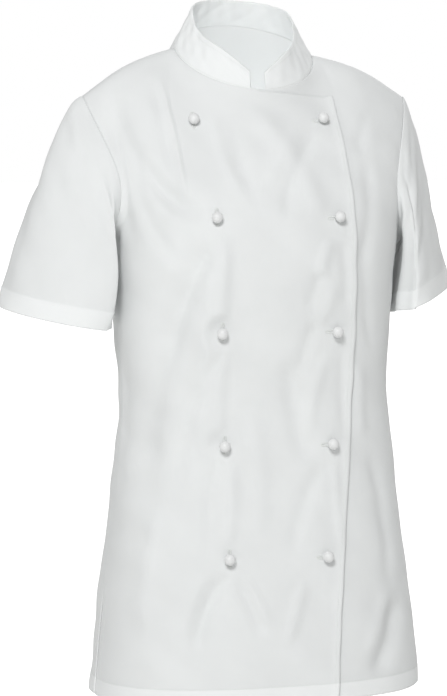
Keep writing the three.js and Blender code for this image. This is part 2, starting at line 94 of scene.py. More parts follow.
def read_table(heights: Array, values: Array, z: Array | float) -> Array:
    """Read a table with a smooth curve between its rows.

    Args:
        heights: Rising heights of the rows.
        values: One value for each row.
        z: Heights to read at.

    Returns:
        The values at z, held at both ends.
    """
    z = np.asarray(z, float)
    slopes = np.empty_like(values)
    slopes[1:-1] = (values[2:] - values[:-2]) / (heights[2:] - heights[:-2])
    slopes[0] = (values[1] - values[0]) / (heights[1] - heights[0])
    slopes[-1] = (values[-1] - values[-2]) / (heights[-1] - heights[-2])
    i = np.clip(np.searchsorted(heights, z), 1, len(heights) - 1)
    span = heights[i] - heights[i - 1]
    t = np.clip((z - heights[i - 1]) / span, 0, 1)
    low = ((2 * t - 3) * t * t + 1) * values[i - 1] + ((t - 2) * t + 1) * t * span * slopes[i - 1]
    return low + (3 - 2 * t) * t * t * values[i] + (t - 1) * t * t * span * slopes[i]


def solve(
    rising: Callable[[Array], Array], target: Array, low: float, high: float, halvings: int = 30
) -> Array:
    """Find where a rising function reaches a target.

    Args:
        rising: Function of an array shaped like the target.
        target: Values to reach.
        low: Lowest place to look.
        high: Highest place to look.
        halvings: How often the range is halved.

    Returns:
        The places.
    """
    below = np.full_like(target, low)
    above = np.full_like(target, high)
    for _ in range(halvings):
        middle = (below + above) / 2
        short = rising(middle) < target
        below = np.where(short, middle, below)
        above = np.where(short, above, middle)
    return (below + above) / 2


class Face(Enum):
    """The two faces of the trunk, by the side of Y that they look to."""

    FRONT = -1
    BACK = 1


class Side(Enum):
    """The wearer's sides, by the side of X on which they lie."""

    RIGHT = -1
    LEFT = 1


@dataclass(frozen=True)
class Fold:
    """A soft trough or ridge laid into the cloth, seen from the front or the back.

    The line runs from (x0, z0) to (x1, z1) and bends aside by bow at its middle. Width is from
    the line to the fold's foot, a depth below zero is a trough, and lean makes one flank steeper
    than the other. It runs on past both points by the overrun, and fades over the share in ends.
    """

    x0: float
    z0: float
    x1: float
    z1: float
    width: float
    depth: float
    bow: float = 0.0
    lean: float = 0.0
    ends: float = 0.35
    overrun: float = 0.15

    def rise(self, x: Array, z: Array) -> Array:
        """How far the fold lifts the cloth.

        Args:
            x: Places across, in millimetres.
            z: Heights, in millimetres.

        Returns:
            The lift out of the cloth, in millimetres.
        """
        dx = self.x1 - self.x0
        dz = self.z1 - self.z0
        length = math.hypot(dx, dz)
        along = ((x - self.x0) * dx + (z - self.z0) * dz) / length**2
        aside = ((x - self.x0) * dz - (z - self.z0) * dx) / length
        aside = aside - self.bow * 4 * along * (1 - along)
        inside = np.minimum(along, 1 - along) + self.overrun
        fade = smooth(inside / self.ends)
        across = aside / self.width
        across = across * (1 + self.lean * np.tanh(2 * across))
        return self.depth * fade * np.exp(-FOLD_TAPER * across**2)


# The folds that the solids have too come first in each list, then the finer ones
FRONT_FOLDS = (
    Fold(-161, -58, -92, -175, 19, -5, bow=16),
    Fold(-170, -78, -153, -205, 15, -4, bow=4),
    Fold(-88, -222, -143, -482, 26, -6, bow=14),
    Fold(-66, -213, -80, -438, 22, 4, bow=4),
    Fold(-8, -68, 52, -172, 24, 3.5, bow=-6),
    Fold(16, -345, 33, -443, 20, -3, bow=3),
    Fold(-73, -575, -99, -660, 22, -3.5, bow=5),
    Fold(146, -615, 112, -690, 20, -5, bow=-5),
    Fold(-104, -36, -97, -150, 4.5, 1.9, lean=-0.6),
    Fold(-113, -40, -106, -140, 12.5, -1.6),
    Fold(-75, -216, -116, -340, 12.5, -2.2, bow=6),
    Fold(-60, -206, -64, -304, 11, 1.6, bow=-2),
    Fold(-58, -330, -64, -425, 11, 1.6, bow=3),
    Fold(-70, -338, -112, -470, 12.5, -1.7, bow=5),
    Fold(-54, -455, -62, -548, 12.5, 2, bow=-3),
    Fold(-70, -450, -82, -550, 11, -1.5, bow=3),
    Fold(-66, -580, -98, -650, 11, -2.7, bow=4),
    Fold(-84, -576, -112, -640, 10, 1.2, bow=3),
    Fold(-50, -584, -26, -640, 11, -2.2, bow=-2),
    Fold(-40, -580, -18, -628, 8.5, 1.1),
    Fold(24, -588, 3, -650, 12, 1.8),
    Fold(62, -208, 50, -246, 12, 1.6, bow=2),
    Fold(78, -210, 82, -280, 10, -1.0),
    Fold(50, -244, 38, -284, 12, -1.3, bow=2),
    Fold(66, -256, 50, -300, 12, 1.2, bow=-2),
    Fold(44, -300, 28, -352, 12.5, -1.4, bow=3),
    Fold(76, -332, 80, -420, 10, -1.0),
    Fold(58, -336, 34, -430, 12.5, 1.5, bow=4),
    Fold(52, -458, 14, -548, 15.5, -1.7, bow=6),
    Fold(66, -456, 70, -548, 8.5, 1.2),
    Fold(100, -350, 103, -425, 14, 2.0),
    Fold(108, -205, 118, -330, 12.5, -1.4, bow=4),
    Fold(-140, -118, -103, -190, 11, 1.4, bow=9),
    Fold(-150, -130, -112, -228, 12.5, -1.8, bow=7),
    Fold(-128, -500, -150, -640, 16, 2.2, bow=5),
    Fold(118, -455, 134, -585, 15, -2.4, bow=-5),
    Fold(128, -600, 98, -668, 14, 1.5, bow=-4),
    Fold(120, -120, 104, -230, 15, -1.8, bow=-6),
    Fold(134, -66, 112, -108, 12.5, -1.3, bow=3),
    Fold(60, -92, 12, -176, 12, -1.9, bow=6),
    Fold(44, -84, -4, -146, 14, 1.3, bow=4),
    Fold(-30, -400, -22, -520, 17, 1.4, bow=-4),
    Fold(-34, -80, -18, -170, 14, -1.4, bow=4),
    Fold(-56, -72, -40, -150, 11, 1.1, bow=3),
    Fold(-128, -320, -138, -395, 15.5, 1.4, bow=3),
    Fold(-172, -122, -163, -312, 4.5, -8, bow=-1, ends=0.5),
)
BACK_FOLDS = (
    Fold(60, -215, 84, -470, 26, -6, bow=-10),
    Fold(-70, -200, -92, -440, 24, -6, bow=8),
    Fold(20, -300, 34, -560, 26, 4, bow=8),
    Fold(146, -100, 92, -205, 17, -4, bow=8),
    Fold(-148, -105, -100, -220, 17, -4, bow=-8),
    Fold(-40, -560, -58, -700, 26, -5, bow=6),
    Fold(96, -590, 112, -705, 22, -4.5, bow=-6),
    Fold(-20, -250, -34, -410, 17, 2.2, bow=-5),
    Fold(110, -260, 128, -430, 15, 2.0, bow=5),
    Fold(-118, -250, -136, -420, 14, 2.2, bow=-5),
    Fold(2, -430, -14, -560, 15, -1.8, bow=4),
    Fold(128, -470, 146, -600, 14, -2.0, bow=4),
    Fold(-120, -500, -142, -640, 15, -2.2, bow=-4),
    Fold(40, -600, 30, -700, 17, 1.8, bow=4),
    Fold(120, -80, 84, -150, 9, 1.3, bow=5),
    Fold(-122, -84, -88, -160, 9, 1.3, bow=-5),
    Fold(30, -60, 22, -140, 13, -1.2, bow=4),
    Fold(-50, -330, -60, -380, 10, -1.4, bow=2),
)


@dataclass(frozen=True)
class Ripple:
    """A faint unevenness that pressed cloth keeps, as a few long waves that cross."""

    height: float = 0.34
    waves: tuple[tuple[float, float, float], ...] = (
        (71.0, 0.45, 0.4),
        (53.0, 1.25, 2.1),
        (97.0, -0.35, 1.2),
        (39.0, 0.85, 4.0),
        (120.0, 1.50, 5.2),
    )

    def rise(self, across: Array, up: Array) -> Array:
        """Lift at two places measured along the cloth, in millimetres."""
        total = np.zeros(np.broadcast(across, up).shape)
        for length, turn, phase in self.waves:
            way = across * math.cos(turn) + up * math.sin(turn)
            total = total + np.sin(2 * math.pi * way / length + phase)
        return self.height * total


class StudPlace(Enum):
    """Where each ball stud is fastened, as the (x, z) of its neck seen from the front."""

    RIGHT_1 = (-77, -76)
    LEFT_1 = (72, -76)
    RIGHT_2 = (-66, -183)
    LEFT_2 = (73, -183)
    RIGHT_3 = (-62, -309)
    LEFT_3 = (68, -309)
    RIGHT_4 = (-60, -435)
    LEFT_4 = (62, -435)
    RIGHT_5 = (-59, -559)
    LEFT_5 = (52, -559)

    @property
    def node(self) -> str:
        """Name of the frame's node that this stud stands for."""
        return "stud_" + self.name.lower()


@dataclass(frozen=True)
class TurnedHem:
    """A hem turned twice and sewn down, which stands out a little, with a dent at its stitches.

    Each method is given heights above the row of stitches, in millimetres.
    """

    height: float = 18.0
    ease: float = 2.0
    lift: float = 0.3
    dent: float = 0.25
    dent_width: float = 1.1

    def doubled(self, above: Array) -> Array:
        """How far the cloth is doubled, from 0 to 1."""
        return smooth(0.5 - above / self.ease)

    def rise(self, above: Array) -> Array:
        """How far the hem stands out of the cloth, in millimetres."""
        return self.lift * self.doubled(above) - self.dent * np.exp(-((above / self.dent_width) ** 2))


@dataclass(frozen=True)
class JacketForm:
    """The worn form of the trunk, from the same driving sizes as the frame's solids."""

    cloth: float = 1.3
    layer_gap: float = 1.1
    hem_z: float = -717
    hem_tilt: float = 4
    underarm_z: float = -216
    vent_top_z: float = -602
    vent_pull: float = 7
    vent_run: float = 230
    vent_ease: float = 0.03
    vent_facing: float = 9
    hem: TurnedHem = TurnedHem()
    trunk_share: float = 0.7
    shoulder_blend: float = 2.6
    shoulder_round: float = 0.5
    round_from: float = 0.12
    round_run: float = 0.5
    square: float = 2.45
    neck_half: float = 81
    neck_y: float = 4
    neck_front: tuple[float, float] = (-66, -43)
    neck_back: tuple[float, float] = (58, 31)
    neck_lift: float = 4
    neck_tilt: float = 4
    neck_fade: tuple[float, float] = (-0.1, 0.6)
    shoulder_tip: tuple[float, float, float] = (190, 2, -48)
    shoulder_rise: float = 8
    neck_share: float = 0.42
    scoop_front: float = 33
    scoop_back: float = 27
    scoop_gain: float = 1.78
    scoop_power: float = 0.62
    scoop_end: float = 1.35
    under_edge_x: float = -94
    lap_top: tuple[float, float] = (-41, 8)
    lap: float = 0.4
    lap_row: float = 0.86
    seam_column: float = 0.02 / 150
    seam_row: float = 0.02 / 450
    seam_blend: float = 0.015
    calm_side: float = 0.12
    calm_top: float = 0.05
    stud_flat: tuple[float, float] = (8, 24)
    fold_gain: float = 1.4
    free_edge: tuple[tuple[float, float], ...] = (
        (-717, 60),
        (-640, 65),
        (-560, 73),
        (-440, 85),
        (-330, 91),
        (-200, 94.5),
        (-100, 92.5),
        (-40, 89),
    )
    # Height, half width, and the places in Y of the side, front and back
    sections: tuple[tuple[float, ...], ...] = (
        (-717, 188, -50, -192, 98),
        (-620, 179, -50, -181, 94),
        (-540, 169, -50, -168, 80),
        (-460, 160, -48, -156, 67),
        (-385, 154, -45, -149, 62),
        (-320, 157, -38, -151, 73),
        (-250, 165, -26, -155, 87),
        (-205, 171, -17, -150, 93),
        (-150, 178, -11, -134, 95),
        (-100, 186, -7, -113, 91),
        (-50, 190, -3, -88, 80),
        (30, 190, 0, -50, 56),
    )
    ripple: Ripple = field(default_factory=Ripple)
    ripple_shift: float = 800

    def section(self, column: int, z: Array) -> Array:
        """One size of the trunk's section at z: 1 half width, 2 side, 3 front, 4 back."""
        table = np.array(self.sections, float)
        return read_table(table[:, 0], table[:, column], z)

    def neck_point(self, angle: Array) -> Array:
        """The neckline, with angle 0 at the centre front and 180 degrees at the centre back."""
        c = np.cos(angle)
        s = np.sin(angle)
        end_y = np.where(c > 0, self.neck_front[0], self.neck_back[0])
        end_z = np.where(c > 0, self.neck_front[1], self.neck_back[1])
        y = self.neck_y + (end_y - self.neck_y) * np.abs(c)
        z = self.neck_lift + end_z * np.abs(c) - self.neck_tilt * s
        return points_of(self.neck_half * s, y, z)

    def top_point(self, face: Face, t: Array) -> Array:
        """The top row of a panel: half a neckline, then a shoulder seam out to the tip."""
        side = np.where(t < 0, -1.0, 1.0)
        share = np.abs(t) / self.neck_share
        angle = np.minimum(share, 1) * RIGHT_ANGLE
        neck = self.neck_point(side * (angle if face is Face.FRONT else math.pi - angle))
        along = np.clip((share - 1) / (1 / self.neck_share - 1), 0, 1)
        tip_x, tip_y, tip_z = self.shoulder_tip
        start_z = self.neck_lift - side * self.neck_tilt
        z = lerp(start_z, tip_z, along) + self.shoulder_rise * np.sin(math.pi * along)
        seam = points_of(side * lerp(self.neck_half, tip_x, along), lerp(self.neck_y, tip_y, along), z)
        return np.where((share <= 1)[..., None], neck, seam)

    def trunk_point(self, face: Face, angle: Array, z: Array) -> Array:
        """A point of the trunk's section at z, with the angle measured from the centre line."""
        half = self.section(1, z)
        side = self.section(2, z)
        depth = np.abs(self.section(3 if face is Face.FRONT else 4, z) - side)
        s = np.sin(angle)
        c = np.maximum(0, np.cos(angle))
        reach = (np.abs(s) ** self.square + c**self.square) ** (-1 / self.square)
        return points_of(half * s * reach, side + face.value * depth * c * reach, z)

    def smooth_point(self, face: Face, t: Array | float, v: Array | float) -> Array:
        """The smooth cloth of the front or back.

        Args:
            face: Front or back.
            t: From -1 to 1 across.
            v: From 0 at the hem to 1 at the neck and shoulder.

        Returns:
            Points in millimetres.
        """
        t, v = np.broadcast_arrays(np.asarray(t, float), np.asarray(v, float))
        low = np.minimum(v / self.trunk_share, 1)
        share = np.clip((v - self.trunk_share) / (1 - self.trunk_share), 0, 1)
        most = math.radians(self.scoop_front if face is Face.FRONT else self.scoop_back)
        scoop = most * self.scoop_gain * share**self.scoop_power * (self.scoop_end - share)
        angle = t * RIGHT_ANGLE - np.sign(t) * t * t * scoop
        top = self.top_point(face, t)
        above = lerp(self.underarm_z, top[..., 2], share)
        z = np.where(low < 1, lerp(self.hem_z, self.underarm_z, low), above)
        point = self.trunk_point(face, angle, z)
        point[..., 2] += self.hem_tilt * point[..., 0] * (1 - low) ** 2 / self.sections[0][1]
        rounded = smooth((np.abs(t) - self.round_from) / self.round_run)
        roundness = lerp(1, self.shoulder_round, rounded)
        blend = 1 - np.maximum(0, 1 - share**self.shoulder_blend) ** roundness
        point[..., :2] = lerp(point[..., :2], top[..., :2], blend[..., None])
        return point

    def face_normal(self, face: Face, t: Array, v: Array, step: float = 0.004) -> Array:
        """Outward normal of the smooth cloth, by small differences."""
        along = self.smooth_point(face, np.minimum(1, t + step), v)
        along = along - self.smooth_point(face, np.maximum(-1, t - step), v)
        up = self.smooth_point(face, t, np.minimum(1, v + step))
        up = up - self.smooth_point(face, t, np.maximum(0, v - step))
        return unit(np.cross(along, up)) * -face.value

    def normal(self, face: Face, t: Array, v: Array) -> Array:
        """Outward normal, shared by both faces along the shoulder seam so that their walls meet."""
        t, v = np.broadcast_arrays(np.asarray(t, float), np.asarray(v, float))
        own = self.face_normal(face, t, v)
        near = np.clip((v - 1) / self.seam_blend + 1, 0, 1) * (np.abs(t) >= self.neck_share)
        if not near.any():
            return own
        other = self.face_normal(Face.BACK if face is Face.FRONT else Face.FRONT, t, v)
        return unit(lerp(own, (own + other) / 2, near[..., None]))

    def fold_rise(self, face: Face, x: Array, z: Array) -> Array:
        """How far all folds lift the cloth at (x, z), calm beside the studs."""
        folds = FRONT_FOLDS if face is Face.FRONT else BACK_FOLDS
        rise = self.fold_gain * sum(fold.rise(x, z) for fold in folds)
        if face is Face.BACK:
            return rise
        nearest = np.min([np.hypot(x - p.value[0], z - p.value[1]) for p in StudPlace], axis=0)
        flat, foot = self.stud_flat
        return rise * smooth((nearest - flat) / (foot - flat))

    def cloth_point(self, face: Face, t: Array | float, v: Array | float, lift: Array | float = 0.0) -> Array:
        """The cloth's outer face with its folds.

        Args:
            face: Front or back.
            t: From -1 to 1 across.
            v: From 0 at the hem to 1 at the neck and shoulder.
            lift: Extra height above the cloth, in millimetres.

        Returns:
            Points in millimetres.
        """
        t, v = np.broadcast_arrays(np.asarray(t, float), np.asarray(v, float))
        point = self.smooth_point(face, t, v)
        x = point[..., 0]
        z = point[..., 2]
        calm = smooth((1 - np.abs(t)) / self.calm_side) * smooth((1 - v) / self.calm_top)
        shift = self.ripple_shift if face is Face.BACK else 0
        rise = (self.fold_rise(face, x, z) + self.ripple.rise(x + shift, z)) * calm
        return point + self.normal(face, t, v) * (rise + lift)[..., None]

    def neck_inset(self, angle: Array) -> Array:
        """How far the lapped layer lies under the other at an angle of the neckline."""
        start, run = self.neck_fade
        return (self.cloth + self.layer_gap) * smooth((np.cos(angle) - start) / run)

    def row_at_height(self, face: Face, t: Array, z: Array) -> Array:
        """The row at which column t reaches the height z."""
        return solve(lambda v: self.smooth_point(face, t, v)[..., 2], z, 0, 1)

    def column_at_x(self, face: Face, x: Array, v: Array) -> Array:
        """The column at which row v reaches x."""
        return solve(lambda t: self.smooth_point(face, t, v)[..., 0], x, -1, 1)

    def locate(
        self, face: Face, x: Array | float, z: Array | float, rounds: int = 8
    ) -> tuple[Array, Array]:
        """The column and row at which the cloth reaches (x, z), found in turns."""
        x, z = (np.array(a, float) for a in np.broadcast_arrays(x, z))
        t = np.zeros_like(x)
        v = np.zeros_like(x)
        for _ in range(rounds):
            v = self.row_at_height(face, t, z)
            t = self.column_at_x(face, x, v)
        return t, v

    def row_above_hem(self, height: Array | float) -> Array | float:
        """The row that lies a height in millimetres above the hem."""
        return self.trunk_share * height / (self.underarm_z - self.hem_z)

    def side_edge(self, face: Face, v: Array) -> Array:
        """Where a panel's side edge lies, drawn back inside the vents on the fronts."""
        if face is Face.BACK:
            return np.full_like(v, 1 - self.seam_column)
        vent_row = self.row_above_hem(self.vent_top_z - self.hem_z)
        pulled = smooth((vent_row - v) / self.vent_ease)
        return 1 - self.seam_column - pulled * self.vent_pull / self.vent_run

    def vent_rows(self, foot: float = 4, past: float = 6, count: int = 60) -> Array:
        """Rows of the stitches along a vent, from a foot above the hem to a little past its top."""
        top = self.vent_top_z - self.hem_z + past
        return np.linspace(self.row_above_hem(foot), self.row_above_hem(top), count)

    @property
    def hem_row(self) -> float:
        """The row of the hem's stitches."""
        return self.row_above_hem(self.hem.height)

    def above_stitches(self, row: Array) -> Array:
        """How far a row lies above the hem's stitches, in millimetres."""
        return row / self.row_above_hem(1) - self.hem.height


def grid_normals(grid: Array, closed: bool) -> Array:
    """Unit normals of a grid of points.

    Args:
        grid: Points as rows, columns and coordinates.
        closed: Whether the last column meets the first.

    Returns:
        One normal for each point, on the side that the columns and rows turn to.
    """
    if closed:
        wide = np.concatenate([grid[:, -1:], grid, grid[:, :1]], axis=1)
        across = wide[:, 2:] - wide[:, :-2]
    else:
        across = np.gradient(grid, axis=1)
    return unit(np.cross(across, np.gradient(grid, axis=0)))


def run_lengths(grid: Array, axis: int) -> Array:
    """Distance along the cloth from the first row or column of a grid."""
    steps = np.linalg.norm(np.diff(grid, axis=axis), axis=-1)
    return np.insert(np.cumsum(steps, axis=axis), 0, 0, axis=axis)


def spread(start: float, end: float, step: float, marks: tuple[float, ...] = (), tight: float = 0.0) -> Array:
    """Rising places with even steps, and closer ones round each mark.

    Args:
        start: First place.
        end: Last place.
        step: Largest step.
        marks: Places where a stitch line or a crease needs a finer grid.
        tight: Half the width of the finer stretch.

    Returns:
        The places.
    """
    places = list(np.linspace(start, end, max(2, round(abs(end - start) / step) + 1)))
    for mark in marks:
        close = [mark + tight * k for k in CLOSE_PLACES]
        places += [place for place in close if start < place < end]
    places = np.unique(np.round(places, 6))
    keep = np.concatenate([[True], np.diff(places) > tight * 0.5])
    keep[-1] = True
    return places[keep]


@dataclass
class ClothShell:
    """A closed thin shell of cloth from a grid of outer points.

    Its edges are turned as folded cloth is, and it carries a UV map in metres along the cloth.
    """

    name: str
    outer: Array
    plies: Array
    ply: float = 1.0
    hem_ply: float = 1.7
    outward: float = 1.0
    closed: bool = False
    bulge: float = 0.45

    def build(self, material: bpy.types.Material) -> bpy.types.Object:
        """Make the shell's object.

        Args:
            material: Its finish.

        Returns:
            An object at the origin with its place in its mesh.
        """
        rows, columns = self.outer.shape[:2]
        normals = grid_normals(self.outer, self.closed) * self.outward
        plies = np.broadcast_to(np.asarray(self.plies, float), (rows, columns))
        thickness = lerp(self.ply, self.hem_ply, plies)[..., None]
        inner = self.outer - normals * thickness
        u = run_lengths(self.outer, 1)
        u = u - u[:, columns // 2 : columns // 2 + 1]
        uv = np.stack([u, run_lengths(self.outer, 0)], axis=-1) * MM
        rim, rim_points = self.turned_rims(inner, thickness)
        vertices = np.concatenate([self.outer.reshape(-1, 3), inner.reshape(-1, 3), rim_points])
        faces, corners = self.sheets(uv)
        edge_uv = uv.reshape(-1, 2)
        for chain in rim:
            for (a, b, m), (c, d, n) in zip(chain, chain[1:]):
                faces += [(a, c, n, m), (m, n, d, b)]
                corners += [tuple(edge_uv[k] for k in (a, c, c, a))] * 2
        mesh = bpy.data.meshes.new(f"{self.name}_cloth")
        mesh.from_pydata((vertices * MM).tolist(), [], faces)
        # Turned rims count as doubled cloth and take its lighter colour, while single cloth carries the
        # painted shade.
        turned = np.ones(len(rim_points))
        doubled = mesh.attributes.new("plies", "FLOAT", "POINT")
        doubled.data.foreach_set("value", np.concatenate([plies.ravel(), plies.ravel(), turned]))
        layer = mesh.uv_layers.new(name="cloth_run")
        layer.data.foreach_set("uv", np.array(corners, float).ravel())
        mesh.polygons.foreach_set("use_smooth", np.ones(len(faces), bool))
        mesh.materials.append(material)
        face_outwards(mesh)
        return link_object(mesh.name, mesh)

    def sheets(self, uv: Array) -> tuple[list[tuple[int, ...]], list[tuple[Array, ...]]]:
        """Faces of the outer and inner sheet, with the UV of each corner."""
        rows, columns = self.outer.shape[:2]
        flat = uv.reshape(-1, 2)
        faces: list[tuple[int, ...]] = []
        corners: list[tuple[Array, ...]] = []
        last = columns if self.closed else columns - 1
        closing = np.array([np.linalg.norm(self.outer[0, 0] - self.outer[0, -1]) * MM, 0])
        for i in range(rows - 1):
            for j in range(last):
                k = (j + 1) % columns
                a = i * columns + j
                b = i * columns + k
                c = b + columns
                d = a + columns
                run = [flat[a], flat[b], flat[c], flat[d]]
                if k == 0:
                    run[1] = flat[a] + closing
                    run[2] = flat[d] + closing
                faces.append((a, b, c, d))
                corners.append(tuple(run))
                faces.append(tuple(rows * columns + n for n in (a, d, c, b)))
                corners.append((run[0], run[3], run[2], run[1]))
        return faces, corners

    def turned_rims(self, inner: Array, thickness: Array) -> tuple[list[list[tuple[int, int, int]]], Array]:
        """Chains of (outer, inner, middle) vertices along every edge, and the middle points."""
        rows, columns = self.outer.shape[:2]
        count = rows * columns
        index = np.arange(count).reshape(rows, columns)
        if self.closed:
            rings = [index[0], index[-1]]
        else:
            sides = [index[0], index[1:-1, -1], index[-1][::-1], index[1:-1, 0][::-1]]
            rings = [np.concatenate(sides)]
        outer = self.outer.reshape(-1, 3)
        inside = inner.reshape(-1, 3)
        thick = thickness.reshape(-1, 1)
        chains = []
        middles = []
        start = 2 * count
        for ring in rings:
            row = ring // columns
            column = ring % columns
            within = np.clip(row, 1, rows - 2) * columns
            within = within + (column if self.closed else np.clip(column, 1, columns - 2))
            away = unit(outer[ring] - outer[within])
            middles.append((outer[ring] + inside[ring]) / 2 + away * thick[ring] * self.bulge)
            chain = [(int(a), int(a) + count, start + k) for k, a in enumerate(ring)]
            chains.append(chain + chain[:1])
            start += len(ring)
        return chains, np.concatenate(middles)


def face_outwards(mesh: bpy.types.Mesh) -> None:
    """Turn all faces of a closed mesh outwards."""
    work = bmesh.new()
    work.from_mesh(mesh)
    bmesh.ops.recalc_face_normals(work, faces=work.faces)
    work.to_mesh(mesh)
    work.free()


def link_object(name: str, mesh: bpy.types.Mesh) -> bpy.types.Object:
    """Put a mesh in the scene as an object at the origin."""
    item = bpy.data.objects.new(name, mesh)
    bpy.context.scene.collection.objects.link(item)
    return item


@dataclass
class SewnLine:
    """A row of stitches: points on the cloth, the cloth's normals there, and how it is sewn."""

    points: Array
    normals: Array
    looped: bool = False


@dataclass
class FrontPanel:
    """One front of the double breast. The wearer's right front laps over the left one."""

    form: JacketForm
    side: Side
    step: float = 2.5
    facing: float = 6.0
    facing_tight: float = 1.2
    inset_row: float = 0.945
    inset_fade: float = 0.35
    edge_roll: float = 2.0
    roll_width: float = 7.0
    hem_ends: tuple[float, float] = (0.012, 0.985)
    edge_foot: float = 4
    edge_top: float = 0.992
    # Millimetres for each unit of column or row, over the panel, in its lap and at its vent
    width_run: float = 225
    length_run: float = 690
    facing_run: float = 230
    lap_run: float = 232
    vent_run: float = 150

    @property
    def name(self) -> str:
        """Name of the piece and of the node that it stands for."""
        return f"{self.side.name.lower()}_front"

    @property
    def inset(self) -> float:
        """How far this layer lies inside the lap."""
        return self.form.cloth + self.form.layer_gap if self.side is Side.LEFT else 0.0

    def columns_at(self, column: Array, v: Array) -> Array:
        """The form's column for each place across the panel, at the form's row v."""
        form = self.form
        z = form.smooth_point(Face.FRONT, 0.0, v)[..., 2]
        edge = np.array(form.free_edge, float)
        hidden = form.column_at_x(Face.FRONT, np.full_like(v, form.under_edge_x), v)
        free = form.column_at_x(Face.FRONT, read_table(edge[:, 0], edge[:, 1], z), v)
        seam = form.side_edge(Face.FRONT, v)
        lap = form.lap
        t = lerp(hidden, free, (column + lap) / (2 * lap))
        t = np.where(column < -lap, lerp(-seam, hidden, (column + 1) / (1 - lap)), t)
        return np.where(column > lap, lerp(free, seam, (column - lap) / (1 - lap)), t)

    def place(self, column: Array, row: Array) -> tuple[Array, Array]:
        """Columns from -1 to 1, with the lap between -0.4 and 0.4, as the form's own columns.

        Args:
            column: Places across the panel.
            row: Places up the panel, 1 at its top edge.

        Returns:
            The form's column and row.
        """
        first = self.form.lap_row
        column, row = np.broadcast_arrays(np.asarray(column, float), np.asarray(row, float))
        t = self.columns_at(column, row)
        drawn = row > first
        v = row
        for _ in range(3):
            v = np.where(drawn, lerp(first, self.top_row(t), (row - first) / (1 - first)), row)
            t = np.where(drawn, self.columns_at(column, v), t)
        return t, v

    def top_row(self, t: Array) -> Array:
        """The row at which each column ends: the neckline, or past the centre the lap's top edge."""
        form = self.form
        edge_z, drop = form.lap_top
        places = np.linspace(-1, 1, 161)
        x = np.abs(form.smooth_point(Face.FRONT, places, 1.0)[..., 0])
        target = edge_z - drop * np.minimum(1, x / form.free_edge[-1][1])
        rows = np.minimum(1 - form.seam_row, form.row_at_height(Face.FRONT, places, target))
        past = -t * self.side.value
        return np.where(past <= 0, 1 - form.seam_row, np.interp(t, places, rows))

    def surface(self, column: Array, row: Array, lift: Array | float = 0.0) -> Array:
        """Points of the panel's outer face, in millimetres."""
        t, v = self.place(column, row)
        neck = self.form.neck_inset(np.minimum(1, np.abs(t) / self.form.neck_share) * RIGHT_ANGLE)
        level = lerp(self.inset, neck, smooth((v - self.inset_row) / (1 - self.inset_row)))
        drop = np.minimum(self.inset * smooth((1 - np.abs(t)) / self.inset_fade), level)
        if self.side is Side.RIGHT:
            from_edge = (self.form.lap - np.asarray(column, float)) * self.lap_run
            lift = lift + self.edge_roll * np.exp(-((from_edge / self.roll_width) ** 2))
        return self.form.cloth_point(Face.FRONT, t, v, lift - drop)

    def normal(self, column: Array, row: Array) -> Array:
        """Normals of the panel's outer face."""
        t, v = self.place(column, row)
        return self.form.normal(Face.FRONT, t, v)

    def grid_places(self) -> tuple[Array, Array]:
        """Columns and rows of the shell, closer together at the hem, the vent and the free edge."""
        form = self.form
        rows = spread(0, 1, self.step / self.length_run, (form.hem_row,), form.row_above_hem(1.0))
        inner = (self.facing / self.facing_run - form.lap) * self.side.value
        tight = self.facing_tight / self.width_run
        columns = spread(-1, 1, self.step / self.width_run, (inner,), tight)
        reach = columns * self.side.value
        return columns[reach >= -form.lap - 1e-6], rows

    def build(self, material: bpy.types.Material) -> bpy.types.Object:
        """Make the panel's shell."""
        hem = self.form.hem
        columns, rows = self.grid_places()
        above = self.form.above_stitches(rows)[:, None]
        outer = self.surface(columns[None, :], rows[:, None], hem.rise(above))
        return ClothShell(self.name, outer, hem.doubled(above)).build(material)

    def hem_line(self) -> SewnLine:
        """Stitch line of the turned hem."""
        columns = np.linspace(-1, 1, 240)
        reach = columns * self.side.value
        margin, end = self.hem_ends
        columns = columns[(reach >= margin - self.form.lap) & (reach <= end)]
        row = np.full_like(columns, self.form.hem_row)
        return SewnLine(self.surface(columns, row, HEM_STITCH_LIFT), self.normal(columns, row))

    def edge_line(self, aside: float) -> SewnLine:
        """Stitch line beside the lapped edge, at a distance from it."""
        rows = np.linspace(self.form.row_above_hem(self.edge_foot), self.edge_top, 260)
        column = np.full_like(rows, (aside / self.lap_run - self.form.lap) * self.side.value)
        return SewnLine(self.surface(column, rows, STITCH_LIFT), self.normal(column, rows))

    def vent_line(self) -> SewnLine:
        """Stitch line of the narrow facing inside the vent."""
        rows = self.form.vent_rows()
        column = np.full_like(rows, (1 - self.form.vent_facing / self.vent_run) * self.side.value)
        return SewnLine(self.surface(column, rows, STITCH_LIFT), self.normal(column, rows))


